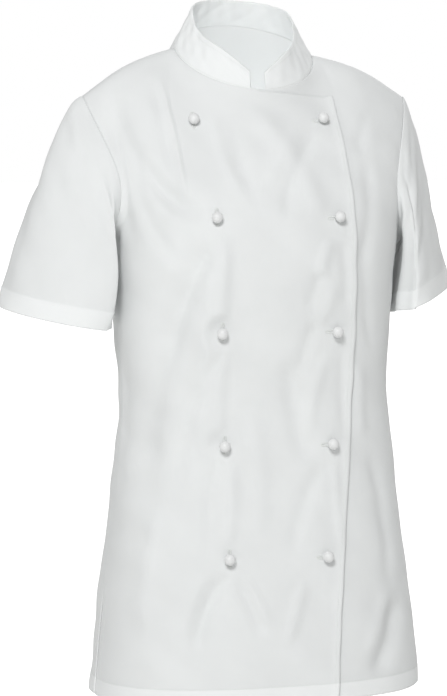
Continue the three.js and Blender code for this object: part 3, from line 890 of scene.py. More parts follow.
@dataclass
class BackPanel:
    """The back, cut in one, with a turned hem and faced vents."""

    form: JacketForm
    name: str = "back"
    step: float = 2.7
    hem_end: float = 0.985
    # Millimetres for each unit of column or row
    width_run: float = 215
    length_run: float = 720

    def surface(self, column: Array, row: Array, lift: Array | float = 0.0) -> Array:
        """Points of the panel's outer face, in millimetres."""
        row = np.minimum(row, 1 - self.form.seam_row)
        t = column * self.form.side_edge(Face.BACK, row)
        return self.form.cloth_point(Face.BACK, t, row, lift)

    def build(self, material: bpy.types.Material) -> bpy.types.Object:
        """Make the panel's shell."""
        form = self.form
        rows = spread(0, 1, self.step / self.length_run, (form.hem_row,), form.row_above_hem(1.0))
        columns = spread(-1, 1, self.step / self.width_run)
        above = form.above_stitches(rows)[:, None]
        outer = self.surface(columns[None, :], rows[:, None], form.hem.rise(above))
        return ClothShell(self.name, outer, form.hem.doubled(above), outward=-1.0).build(material)

    def hem_line(self) -> SewnLine:
        """Stitch line of the turned hem."""
        columns = np.linspace(-self.hem_end, self.hem_end, 320)
        row = np.full_like(columns, self.form.hem_row)
        normals = self.form.normal(Face.BACK, columns, row)
        return SewnLine(self.surface(columns, row, HEM_STITCH_LIFT), normals)

    def vent_line(self, side: Side) -> SewnLine:
        """Stitch line of the narrow facing inside a vent."""
        rows = self.form.vent_rows()
        column = np.full_like(rows, (1 - self.form.vent_facing / self.width_run) * side.value)
        normals = self.form.normal(Face.BACK, column, rows)
        return SewnLine(self.surface(column, rows, STITCH_LIFT), normals)


@dataclass(frozen=True)
class SleeveFold:
    """A soft fold down a sleeve, at an angle round the arm that changes by turn on its way down.

    Angle, turn and width are in degrees. The angle starts under the arm and passes the front, the
    top and the back. Start and end are shares of the way from the armhole to the hem.
    """

    angle: float
    turn: float
    start: float
    end: float
    width: float
    depth: float
    ends: float = 0.4
    overrun: float = 0.1

    def rise(self, angle: Array, s: Array) -> Array:
        """How far the fold lifts the sleeve's cloth, in millimetres."""
        along = (s - self.start) / (self.end - self.start)
        middle = self.angle + self.turn * along
        aside = (np.degrees(angle) - middle + 180) % 360 - 180
        inside = np.minimum(along, 1 - along) + self.overrun
        return self.depth * smooth(inside / self.ends) * np.exp(-FOLD_TAPER * (aside / self.width) ** 2)


@dataclass
class Sleeve:
    """A short set-in sleeve with a pressed crease and a turned hem."""

    form: JacketForm
    side: Side
    hem: tuple[float, float, float]
    crease: tuple[float, float, float]
    outer: tuple[float, float, float]
    inner: tuple[float, float, float]
    cap: tuple[float, float]
    swing: float
    folds: tuple[SleeveFold, ...]
    pit: tuple[float, float] = (44, -4)
    leave_spread: float = 26
    leave_gap: float = 0.02
    arrive: tuple[float, float, float] = (-24, 52, -200)
    crease_sharp: float = 1.25
    turned: TurnedHem = TurnedHem(height=21.0)
    # Rows of the hem band, as distances from the hem, closer together at its stitches
    band_rows: tuple[float, ...] = (0, 1, 2.5, 5, 8, 11, 14, 17, 19.2, 20.1, 21, 21.9, 22.8, 25)
    around: int = 190
    down: int = 84
    fold_start: float = 0.16
    ripple_start: float = 0.2
    ripple_shift: float = 200
    # Millimetres of cloth for each degree round the arm, and from the armhole to the hem
    degree_run: float = 1.1
    length_run: float = 230

    @property
    def name(self) -> str:
        """Name of the piece and of the node that it stands for."""
        return f"{self.side.name.lower()}_sleeve"

    def armhole(self, angle: Array) -> Array:
        """The armhole's edge: 0 under the arm, 90 degrees the front and 180 the shoulder tip."""
        row = lerp(self.form.trunk_share, 1, (1 - np.cos(angle)) / 2)
        column = np.full_like(row, float(self.side.value))
        front = self.form.smooth_point(Face.FRONT, column, row)
        back = self.form.smooth_point(Face.BACK, column, row)
        return np.where((np.sin(angle) >= 0)[..., None], front, back)

    def smooth_surface(self, angle: Array, s: Array) -> Array:
        """The sleeve's smooth cloth.

        Args:
            angle: Place round the arm, 0 underneath, in radians.
            s: From 0 at the armhole to 1 at the hem.

        Returns:
            Points in millimetres.
        """
        mirror = self.side.value
        angle, s = np.broadcast_arrays(np.asarray(angle, float), np.asarray(s, float))
        rise = (1 - np.cos(angle)) / 2
        fore = np.sin(angle)
        aside = -np.sign(np.cos(angle)) * np.abs(np.cos(angle)) ** self.crease_sharp
        end = np.array(self.hem) + np.array(self.crease) * fore[..., None]
        wall = np.where((aside > 0)[..., None], np.array(self.outer), np.array(self.inner))
        end = end + wall * aside[..., None]
        end[..., 0] *= mirror
        leave_x = mirror * lerp(self.pit[0], self.cap[0], rise)
        leave = points_of(leave_x, -self.leave_spread * fore, lerp(self.pit[1], self.cap[1], rise))
        inwards = lerp(self.arrive[0], self.arrive[1], rise) + self.swing * np.maximum(0, fore) ** 4
        arrive = points_of(mirror * inwards, 0.0, self.arrive[2])
        s = s[..., None]
        h = (1 - s) ** 2
        path = self.armhole(angle) * (1 + 2 * s) * h + end * s * s * (3 - 2 * s)
        return path + leave * s * h + arrive * s * s * (s - 1)

    def rows_at(self, angle: Array, run: Array) -> Array:
        """The share s at which the cloth lies a run above the hem.

        Args:
            angle: Places round the arm.
            run: Distances from the hem in millimetres, or from 0 to -1 for a share of the
                way from the hem band up to the armhole.

        Returns:
            One s for each run and angle.
        """
        fine = np.linspace(0, 1, 121)
        path = self.smooth_surface(angle[None, :], fine[:, None])
        length = run_lengths(path, 0)
        full = length[-1]
        slope = np.linalg.norm(path[1] - path[0], axis=-1) / fine[1]
        lowest = self.leave_gap / slope
        result = np.empty((len(run), len(angle)))
        for j in range(len(angle)):
            first = np.interp(lowest[j], fine, length[:, j])
            wanted = np.where(run >= 0, full[j] - run, lerp(full[j] - self.band_rows[-1], first, -run))
            result[:, j] = np.interp(wanted, length[:, j], fine)
        return result

    def surface(self, angle: Array, s: Array, lift: Array | float = 0.0) -> Array:
        """Points of the sleeve's outer face with its folds, in millimetres."""
        base = self.smooth_surface(angle, s)
        normal = self.normal(angle, s)
        folds = sum(fold.rise(angle, s) for fold in self.folds) * smooth(s / self.fold_start)
        across = np.degrees(angle) * self.degree_run + self.ripple_shift * self.side.value
        ripple = self.form.ripple.rise(across, s * self.length_run)
        rise = folds + ripple * smooth(s / self.ripple_start)
        return base + normal * (rise + lift)[..., None]

    def normal(self, angle: Array, s: Array, turn: float = 0.05, step: float = 0.01) -> Array:
        """Outward normals of the smooth cloth."""
        around = self.smooth_surface(angle + turn, s) - self.smooth_surface(angle - turn, s)
        down = self.smooth_surface(angle, np.minimum(1, s + step))
        down = down - self.smooth_surface(angle, np.maximum(0, s - step))
        return unit(np.cross(around, down)) * self.side.value

    def build(self, material: bpy.types.Material) -> bpy.types.Object:
        """Make the sleeve's shell."""
        angle = np.linspace(0, 2 * math.pi, self.around, endpoint=False)
        run = np.concatenate([self.band_rows, -(np.arange(1, self.down + 1) / self.down)])
        above = np.where(run >= 0, run - self.turned.height, np.inf)[:, None]
        outer = self.surface(angle[None, :], self.rows_at(angle, run), self.turned.rise(above))
        outward = -float(self.side.value)
        plies = self.turned.doubled(above)
        return ClothShell(self.name, outer, plies, outward=outward, closed=True).build(material)

    def hem_line(self) -> SewnLine:
        """Stitch line of the turned hem."""
        angle = np.linspace(0, 2 * math.pi, 200, endpoint=False)
        s = self.rows_at(angle, np.array([self.turned.height]))[0]
        return SewnLine(self.surface(angle, s, HEM_STITCH_LIFT), self.normal(angle, s), True)


@dataclass
class Collar:
    """The stiffened stand collar, which leans in, with ends that slope down to the gap."""

    form: JacketForm
    name: str = "collar"
    cloth: float = 2.0
    foot_gap: float = -0.9
    foot_lean: float = 0.55
    height_front: float = 40
    height_side: float = 41
    height_back: float = 30
    lean_front: float = 10
    lean_side: float = 32
    lean_back: float = 22
    gap: float = 19
    corner: tuple[float, float] = (48, 21)
    length: float = 440
    columns: int = 240
    rows: int = 26
    stitch_run: float = 36
    foot_stitches: tuple[float, float] = (0.01, 0.06)

    def unevenness(self, share: Array, up_share: Array) -> Array:
        """Faint waves in the collar's cloth, calm at its foot, in millimetres."""
        wide = 0.6 * np.sin(share * 61) * np.sin(up_share * 4 + share * 9)
        fine = 0.5 * np.sin(share * 137 + up_share * 5) * np.sin(up_share * 7 - share * 21)
        return (wide + fine) * smooth(up_share / 0.25)

    def surface(self, share: Array, up_share: Array, lift: Array | float = 0.0) -> tuple[Array, Array]:
        """Points and normals of the collar's outer face.

        Args:
            share: From 0 to 1 round the neck, from one end to the other.
            up_share: From 0 at the foot to 1 at the top edge.
            lift: Extra height above the cloth.

        Returns:
            Points in millimetres, and unit normals.
        """
        share, up_share = np.broadcast_arrays(np.asarray(share, float), np.asarray(up_share, float))
        start = math.asin(self.gap / 2 / self.form.neck_half)
        angle = lerp(start, 2 * math.pi - start, share)
        c = np.cos(angle)
        ahead = c > 0
        height = lerp(self.height_side, np.where(ahead, self.height_front, self.height_back), c * c)
        lean_end = np.where(ahead, self.lean_front, self.lean_back)
        lean = np.radians(lerp(self.lean_side, lean_end, c * c))
        base = self.form.neck_point(angle)
        along = unit(self.form.neck_point(angle + 0.02) - self.form.neck_point(angle - 0.02))
        out = unit(points_of(along[..., 1], -along[..., 0], 0.0))
        out = out * np.sign(np.sum(out * base, axis=-1, keepdims=True))
        lift_z = points_of(0.0, 0.0, np.cos(lean))
        up = lift_z - out * np.sin(lean)[..., None]
        normal = out * np.cos(lean)[..., None] + points_of(0.0, 0.0, np.sin(lean))
        run, drop = self.corner
        gone = np.maximum(0, 1 - np.minimum(share, 1 - share) * self.length / run)
        full = height - drop * gone**2
        inset = np.where(angle < math.pi, self.form.neck_inset(angle), 0)
        foot = self.foot_gap + self.foot_lean * self.cloth * np.sin(lean)
        above = lerp(foot, full, up_share)
        out_by = lift - inset + self.unevenness(share, up_share)
        return base + up * above[..., None] + normal * out_by[..., None], normal

    def shares(self) -> Array:
        """Places round the neck, closer together at the sloping ends."""
        near = self.corner[0] / self.length
        ends = near * (1 - np.cos(np.linspace(0, RIGHT_ANGLE, 18)))
        middle = np.linspace(near, 1 - near, self.columns)[1:-1]
        return np.unique(np.concatenate([ends, middle, 1 - ends]))

    def build(self, material: bpy.types.Material) -> bpy.types.Object:
        """Make the collar's shell."""
        share = self.shares()
        up = np.linspace(0, 1, self.rows)[:, None]
        outer, _ = self.surface(share[None, :], up)
        return ClothShell(self.name, outer, np.ones((1, 1))).build(material)

    def edge_line(self, aside: float = 5.0) -> SewnLine:
        """Stitch line along the top edge and down both ends."""
        share = np.linspace(aside / self.length, 1 - aside / self.length, 300)
        points, normals = self.surface(share, 1 - aside / self.stitch_run, STITCH_LIFT)
        return SewnLine(points, normals)

    def foot_line(self) -> SewnLine:
        """Stitch line along the foot, where the collar is sewn to the neckline."""
        end, up_share = self.foot_stitches
        share = np.linspace(end, 1 - end, 300)
        points, normals = self.surface(share, up_share, STITCH_LIFT)
        return SewnLine(points, normals)


def linear(hex_colour: str) -> tuple[float, float, float, float]:
    """Turn an sRGB hex colour to linear values."""
    values = [int(hex_colour[k : k + 2], 16) / 255 for k in (1, 3, 5)]
    red, green, blue = (c / 12.92 if c <= 0.04045 else ((c + 0.055) / 1.055) ** 2.4 for c in values)
    return red, green, blue, 1.0


def add_node(
    tree: bpy.types.NodeTree,
    kind: str,
    settings: dict[str, object] | None = None,
    inputs: dict[str | int, object] | None = None,
) -> bpy.types.Node:
    """Add a node to a tree.

    Args:
        tree: A shader or geometry tree.
        kind: The node's type name.
        settings: Properties to set on it.
        inputs: Its inputs by name or number, each a value or another node's output.

    Returns:
        The node.
    """
    node = tree.nodes.new(kind)
    for name, value in (settings or {}).items():
        setattr(node, name, value)
    for name, value in (inputs or {}).items():
        socket = node.inputs[name] if isinstance(name, int) else open_socket(node.inputs, name)
        if isinstance(value, bpy.types.NodeSocket):
            tree.links.new(value, socket)
        else:
            socket.default_value = value
    return node


def open_socket(sockets: bpy.types.bpy_prop_collection, name: str) -> bpy.types.NodeSocket:
    """The socket of a name that the node's settings have switched on."""
    return next(socket for socket in sockets if socket.name == name and socket.enabled)


def seen_white(tree: bpy.types.NodeTree, strength: bpy.types.NodeSocket | float) -> bpy.types.NodeSocket:
    """Overexpose a backdrop: it shows as plain white, and lights the jacket with its own strength."""
    seen = add_node(tree, "ShaderNodeLightPath").outputs["Is Camera Ray"]
    return add_node(tree, "ShaderNodeMath", {"operation": "MAXIMUM"}, {0: seen, 1: strength}).outputs[0]


def new_material(name: str) -> tuple[bpy.types.Material, bpy.types.NodeTree]:
    """Make an empty node material and give it with its tree."""
    material = bpy.data.materials.new(name)
    material.use_nodes = True
    material.node_tree.nodes.clear()
    return material, material.node_tree


def finish_material(tree: bpy.types.NodeTree, inputs: dict[str | int, object]) -> None:
    """Add the surface shader with its inputs and join it to the output."""
    shader = add_node(tree, "ShaderNodeBsdfPrincipled", inputs=inputs)
    add_node(tree, "ShaderNodeOutputMaterial", inputs={"Surface": shader.outputs["BSDF"]})


@dataclass(frozen=True)
class PolycottonTwill:
    """White polycotton twill, woven, bleached and pressed.

    It scatters light almost evenly, with a faint sheen where it turns away from the eye. One ply
    lets a little light through and looks greyer than the doubled cloth of a hem or a collar, so
    single cloth has a greyer base colour: painted shade for the dark hollow seen through it. The
    real twill lines are 0.5 mm apart, too fine for a render of 1.1 mm a pixel, so they are drawn
    1.5 mm apart and very shallow.
    """

    name: str = "White polycotton twill"
    colour: str = "#DEE0E0"
    shaded: str = "#D9DBDB"
    doubled: str = "#E5E7E7"
    twill_angle: float = 63.0
    twill_spacing: float = 1.5 * MM
    twill_depth: float = 0.05 * MM
    thread_grain: float = 0.8 * MM
    roughness: float = 0.82

    def material(self) -> bpy.types.Material:
        """Build the material, whose patterns follow the piece's UV map in metres."""
        material, tree = new_material(self.name)
        run = add_node(tree, "ShaderNodeUVMap", {"uv_map": "cloth_run"}).outputs["UV"]
        turned = add_node(
            tree,
            "ShaderNodeMapping",
            inputs={"Vector": run, "Rotation": (0, 0, math.radians(self.twill_angle))},
        ).outputs["Vector"]
        # A wave texture repeats 2 pi times a unit of its scale over 20, so its scale is worked out
        wave_scale = 2 * math.pi / (20 * self.twill_spacing)
        twill = add_node(
            tree,
            "ShaderNodeTexWave",
            {"wave_type": "BANDS", "bands_direction": "X", "wave_profile": "SIN"},
            {"Vector": turned, "Scale": wave_scale, "Distortion": 0.6, "Detail": 1.0, "Detail Scale": 1.5},
        ).outputs["Fac"]
        grain = add_node(
            tree, "ShaderNodeTexNoise", inputs={"Vector": run, "Scale": 1 / self.thread_grain, "Detail": 2.0}
        ).outputs["Fac"]
        soft = add_node(
            tree, "ShaderNodeTexNoise", inputs={"Vector": run, "Scale": 14.0, "Detail": 3.0, "Roughness": 0.5}
        ).outputs["Fac"]
        tint = add_node(tree, "ShaderNodeValToRGB", inputs={"Fac": soft})
        tint.color_ramp.elements[0].position = 0.25
        tint.color_ramp.elements[0].color = linear(self.shaded)
        tint.color_ramp.elements[1].position = 0.7
        tint.color_ramp.elements[1].color = linear(self.colour)
        # Painted shade: single cloth is greyer than doubled hems, turned rims and the collar, standing for
        # the dark hollow that shows through one ply.
        plies = add_node(tree, "ShaderNodeAttribute", {"attribute_name": "plies"}).outputs["Fac"]
        layered = add_node(
            tree,
            "ShaderNodeMix",
            {"data_type": "RGBA"},
            {"Factor": plies, "A": tint.outputs["Color"], "B": linear(self.doubled)},
        )
        layered = open_socket(layered.outputs, "Result")
        height = add_node(
            tree,
            "ShaderNodeMath",
            {"operation": "MULTIPLY_ADD"},
            {0: grain, 1: 0.35, 2: twill},
        ).outputs[0]
        bump = add_node(
            tree,
            "ShaderNodeBump",
            inputs={"Strength": 0.5, "Distance": self.twill_depth, "Height": height},
        ).outputs["Normal"]
        rough = add_node(
            tree,
            "ShaderNodeMapRange",
            inputs={"Value": soft, "To Min": self.roughness - 0.06, "To Max": self.roughness + 0.06},
        ).outputs["Result"]
        shader = {
            "Base Color": layered,
            "Roughness": rough,
            "Normal": bump,
            "IOR": 1.46,
            "Specular IOR Level": 0.25,
            "Sheen Weight": 0.12,
            "Sheen Roughness": 0.5,
        }
        finish_material(tree, shader)
        return material


@dataclass(frozen=True)
class SewingThread:
    """White spun polyester thread: two twisted plies with a slight lustre."""

    name: str = "White polyester sewing thread"
    colour: str = "#E4E6E4"
    ply_spacing: float = 0.6 * MM

    def material(self) -> bpy.types.Material:
        """Build the material, with the twist as slanted lines across the thread, in bumps and in painted
        shade that darkens the grooves between the plies.
        """
        material, tree = new_material(self.name)
        place = add_node(tree, "ShaderNodeTexCoord").outputs["Object"]
        turned = add_node(
            tree, "ShaderNodeMapping", inputs={"Vector": place, "Rotation": (0.6, 0.3, 0.8)}
        ).outputs["Vector"]
        twist = add_node(
            tree,
            "ShaderNodeTexWave",
            {"wave_type": "BANDS"},
            {"Vector": turned, "Scale": 2 * math.pi / (20 * self.ply_spacing), "Distortion": 0.4},
        ).outputs["Fac"]
        bump = add_node(
            tree, "ShaderNodeBump", inputs={"Strength": 0.4, "Distance": 0.05 * MM, "Height": twist}
        ).outputs["Normal"]
        # Painted shade: the twist's grooves between the plies are painted darker than the thread's white.
        tint = add_node(tree, "ShaderNodeValToRGB", inputs={"Fac": twist})
        tint.color_ramp.elements[0].color = linear("#D6D9D7")
        tint.color_ramp.elements[1].color = linear(self.colour)
        shader = {
            "Base Color": tint.outputs["Color"],
            "Roughness": 0.55,
            "IOR": 1.5,
            "Normal": bump,
            "Sheen Weight": 0.1,
        }
        finish_material(tree, shader)
        return material


@dataclass(frozen=True)
class MouldedStudPlastic:
    """White thermoplastic rubber, moulded: satin, a little translucent, faintly orange-peeled."""

    name: str = "White moulded thermoplastic rubber"
    colour: str = "#E0E1E1"
    peel: float = 1.6 * MM

    def material(self) -> bpy.types.Material:
        """Build the material, with its patterns in the object's own metres and painted shade in the dips of
        the peel.
        """
        material, tree = new_material(self.name)
        place = add_node(tree, "ShaderNodeTexCoord").outputs["Object"]
        peel = add_node(
            tree, "ShaderNodeTexNoise", inputs={"Vector": place, "Scale": 1 / self.peel, "Detail": 2.0}
        ).outputs["Fac"]
        bump = add_node(
            tree, "ShaderNodeBump", inputs={"Strength": 0.25, "Distance": 0.06 * MM, "Height": peel}
        ).outputs["Normal"]
        rough = add_node(
            tree, "ShaderNodeMapRange", inputs={"Value": peel, "To Min": 0.36, "To Max": 0.5}
        ).outputs["Result"]
        # Painted shade: the tint follows the peel's bumps and is darker where they dip.
        tint = add_node(tree, "ShaderNodeValToRGB", inputs={"Fac": peel})
        tint.color_ramp.elements[0].color = linear("#DADBDB")
        tint.color_ramp.elements[1].color = linear(self.colour)
        shader = {
            "Base Color": tint.outputs["Color"],
            "Roughness": rough,
            "Normal": bump,
            "IOR": 1.49,
            "Subsurface Weight": 0.08,
            "Subsurface Radius": (1.0, 1.0, 1.0),
            "Subsurface Scale": 1.5 * MM,
        }
        finish_material(tree, shader)
        return material


@dataclass(frozen=True)
class MattePaper:
    """Pale matte background paper, overexposed so that it shows as an even white."""

    name: str = "Pale matte paper"
    colour: str = "#F4F4F2"
    glow: float = 0.12

    def material(self) -> bpy.types.Material:
        """Build the material, with a faint mottle over the sheet."""
        material, tree = new_material(self.name)
        place = add_node(tree, "ShaderNodeTexCoord").outputs["Object"]
        mottle = add_node(tree, "ShaderNodeTexNoise", inputs={"Vector": place, "Scale": 0.6}).outputs["Fac"]
        tint = add_node(tree, "ShaderNodeValToRGB", inputs={"Fac": mottle})
        tint.color_ramp.elements[0].color = linear("#F1F1EF")
        tint.color_ramp.elements[1].color = linear(self.colour)
        shader = {
            "Base Color": tint.outputs["Color"],
            "Roughness": 0.9,
            "Specular IOR Level": 0.1,
            "Emission Color": (1, 1, 1, 1),
            "Emission Strength": seen_white(tree, self.glow),
        }
        finish_material(tree, shader)
        return material


def group_input(tree: bpy.types.NodeTree, name: str, kind: str, value: object = None) -> str:
    """Add a named input to a geometry tree and give its identifier."""
    socket = tree.interface.new_socket(name, in_out="INPUT", socket_type=kind)
    if value is not None:
        socket.default_value = value
    return socket.identifier


@dataclass
class StitchTree:
    """A geometry tree that lays stitches along paths.

    Each path's points carry the cloth's normal in the attribute cloth_up, and each stitch lies
    along the path, or across it for the satin stitches of a buttonhole.
    """

    name: str = "stitches_along_paths"
    spacing: float = 2.8 * MM
    size: tuple[float, float, float] = (1.1 * MM, 0.3 * MM, 0.25 * MM)
    unevenness: float = 0.05
    seed: int = 7

    def build(self) -> tuple[bpy.types.NodeTree, dict[str, str]]:
        """Build the tree.

        Returns:
            The tree, and the identifier of each named input.
        """
        tree = bpy.data.node_groups.new(self.name, "GeometryNodeTree")
        tree.interface.new_socket("Geometry", in_out="OUTPUT", socket_type="NodeSocketGeometry")
        identifiers = {
            "Geometry": group_input(tree, "Geometry", "NodeSocketGeometry"),
            "Spacing": group_input(tree, "Spacing", "NodeSocketFloat", self.spacing),
            "Stitch Size": group_input(tree, "Stitch Size", "NodeSocketVector", self.size),
            "Turn": group_input(tree, "Turn", "NodeSocketFloat", 0.0),
            "Unevenness": group_input(tree, "Unevenness", "NodeSocketFloat", self.unevenness),
            "Seed": group_input(tree, "Seed", "NodeSocketInt", self.seed),
            "Thread": group_input(tree, "Thread", "NodeSocketMaterial"),
        }
        given = add_node(tree, "NodeGroupInput").outputs
        curve = add_node(tree, "GeometryNodeMeshToCurve", inputs={"Mesh": given["Geometry"]}).outputs["Curve"]
        even = add_node(
            tree,
            "GeometryNodeResampleCurve",
            {"mode": "LENGTH"},
            {"Curve": curve, "Length": given["Spacing"]},
        ).outputs["Curve"]
        tangent = add_node(tree, "GeometryNodeInputTangent").outputs["Tangent"]
        up = add_node(
            tree, "GeometryNodeInputNamedAttribute", {"data_type": "FLOAT_VECTOR"}, {"Name": "cloth_up"}
        ).outputs["Attribute"]
        along = add_node(
            tree, "FunctionNodeAlignRotationToVector", {"axis": "X"}, {"Vector": tangent}
        ).outputs["Rotation"]
        upright = add_node(
            tree,
            "FunctionNodeAlignRotationToVector",
            {"axis": "Z", "pivot_axis": "X"},
            {"Rotation": along, "Vector": up},
        ).outputs["Rotation"]
        jitter = add_node(
            tree,
            "FunctionNodeRandomValue",
            {"data_type": "FLOAT"},
            {2: -1.0, 3: 1.0, "Seed": given["Seed"]},
        ).outputs[1]
        turn = add_node(
            tree,
            "ShaderNodeMath",
            {"operation": "MULTIPLY_ADD"},
            {0: jitter, 1: given["Unevenness"], 2: given["Turn"]},
        ).outputs[0]
        about_z = add_node(tree, "ShaderNodeCombineXYZ", inputs={"Z": turn}).outputs[0]
        spun = add_node(
            tree,
            "FunctionNodeRotateRotation",
            {"rotation_space": "LOCAL"},
            {"Rotation": upright, "Rotate By": about_z},
        ).outputs["Rotation"]
        grain = add_node(
            tree, "GeometryNodeMeshUVSphere", inputs={"Segments": 6, "Rings": 5, "Radius": 1.0}
        ).outputs["Mesh"]
        stitch = add_node(
            tree, "GeometryNodeTransform", inputs={"Geometry": grain, "Scale": given["Stitch Size"]}
        ).outputs["Geometry"]
        placed = add_node(
            tree,
            "GeometryNodeInstanceOnPoints",
            inputs={"Points": even, "Instance": stitch, "Rotation": spun},
        ).outputs["Instances"]
        real = add_node(tree, "GeometryNodeRealizeInstances", inputs={"Geometry": placed}).outputs["Geometry"]
        finished = add_node(
            tree, "GeometryNodeSetMaterial", inputs={"Geometry": real, "Material": given["Thread"]}
        ).outputs["Geometry"]
        add_node(tree, "NodeGroupOutput", inputs={"Geometry": finished})
        return tree, identifiers


@dataclass
class StudTree:
    """A geometry tree that seats one modelled stud on each point, square to the cloth."""

    name: str = "studs_on_seats"

    def build(self) -> tuple[bpy.types.NodeTree, dict[str, str]]:
        """Build the tree.

        Returns:
            The tree, and the identifier of each named input.
        """
        tree = bpy.data.node_groups.new(self.name, "GeometryNodeTree")
        tree.interface.new_socket("Geometry", in_out="OUTPUT", socket_type="NodeSocketGeometry")
        identifiers = {
            "Geometry": group_input(tree, "Geometry", "NodeSocketGeometry"),
            "Stud": group_input(tree, "Stud", "NodeSocketObject"),
            "Size": group_input(tree, "Size", "NodeSocketFloat", 1.0),
            "Seed": group_input(tree, "Seed", "NodeSocketInt", 3),
            "Plastic": group_input(tree, "Plastic", "NodeSocketMaterial"),
        }
        given = add_node(tree, "NodeGroupInput").outputs
        stud = add_node(tree, "GeometryNodeObjectInfo", inputs={"Object": given["Stud"]}).outputs["Geometry"]
        out = add_node(
            tree, "GeometryNodeInputNamedAttribute", {"data_type": "FLOAT_VECTOR"}, {"Name": "cloth_up"}
        ).outputs["Attribute"]
        square = add_node(
            tree, "FunctionNodeAlignRotationToVector", {"axis": "Z"}, {"Vector": out}
        ).outputs["Rotation"]
        spin = add_node(
            tree,
            "FunctionNodeRandomValue",
            {"data_type": "FLOAT"},
            {2: 0.0, 3: 2 * math.pi, "Seed": given["Seed"]},
        ).outputs[1]
        about_z = add_node(tree, "ShaderNodeCombineXYZ", inputs={"Z": spin}).outputs[0]
        spun = add_node(
            tree,
            "FunctionNodeRotateRotation",
            {"rotation_space": "LOCAL"},
            {"Rotation": square, "Rotate By": about_z},
        ).outputs["Rotation"]
        placed = add_node(
            tree,
            "GeometryNodeInstanceOnPoints",
            inputs={"Points": given["Geometry"], "Instance": stud, "Rotation": spun, "Scale": given["Size"]},
        ).outputs["Instances"]
        real = add_node(tree, "GeometryNodeRealizeInstances", inputs={"Geometry": placed}).outputs["Geometry"]
        finished = add_node(
            tree, "GeometryNodeSetMaterial", inputs={"Geometry": real, "Material": given["Plastic"]}
        ).outputs["Geometry"]
        add_node(tree, "NodeGroupOutput", inputs={"Geometry": finished})
        return tree, identifiers


def path_mesh(name: str, lines: list[SewnLine]) -> bpy.types.Mesh:
    """Make a mesh of edges from stitch lines, with the cloth's normals in cloth_up."""
    points: list[tuple[float, ...]] = []
    normals: list[Array] = []
    edges: list[tuple[int, int]] = []
    for line in lines:
        start = len(points)
        count = len(line.points)
        points += (line.points * MM).tolist()
        normals += list(line.normals)
        edges += [(start + k, start + k + 1) for k in range(count - 1)]
        if line.looped:
            edges.append((start + count - 1, start))
    mesh = bpy.data.meshes.new(name)
    mesh.from_pydata(points, edges, [])
    attribute = mesh.attributes.new("cloth_up", "FLOAT_VECTOR", "POINT")
    attribute.data.foreach_set("vector", np.array(normals, float).ravel())
    return mesh


def grow(
    name: str,
    mesh: bpy.types.Mesh,
    tree: bpy.types.NodeTree,
    identifiers: dict[str, str],
    values: dict[str, object],
) -> bpy.types.Object:
    """Run a geometry tree on a mesh and keep the result as a plain mesh.

    Args:
        name: Name of the new piece.
        mesh: What the tree works on.
        tree: The geometry tree.
        identifiers: Its inputs' identifiers by name.
        values: Values for the inputs by name.

    Returns:
        An object at the origin with no modifier.
    """
    seed = link_object(name, mesh)
    modifier = seed.modifiers.new("grow", "NODES")
    modifier.node_group = tree
    for key, value in values.items():
        modifier[identifiers[key]] = value
    bpy.context.view_layer.update()
    evaluated = seed.evaluated_get(bpy.context.evaluated_depsgraph_get())
    result = bpy.data.meshes.new_from_object(evaluated)
    seed.modifiers.remove(modifier)
    seed.data = result
    result.name = name
    if "cloth_up" in result.attributes:
        result.attributes.remove(result.attributes["cloth_up"])
    result.polygons.foreach_set("use_smooth", np.ones(len(result.polygons), bool))
    return seed


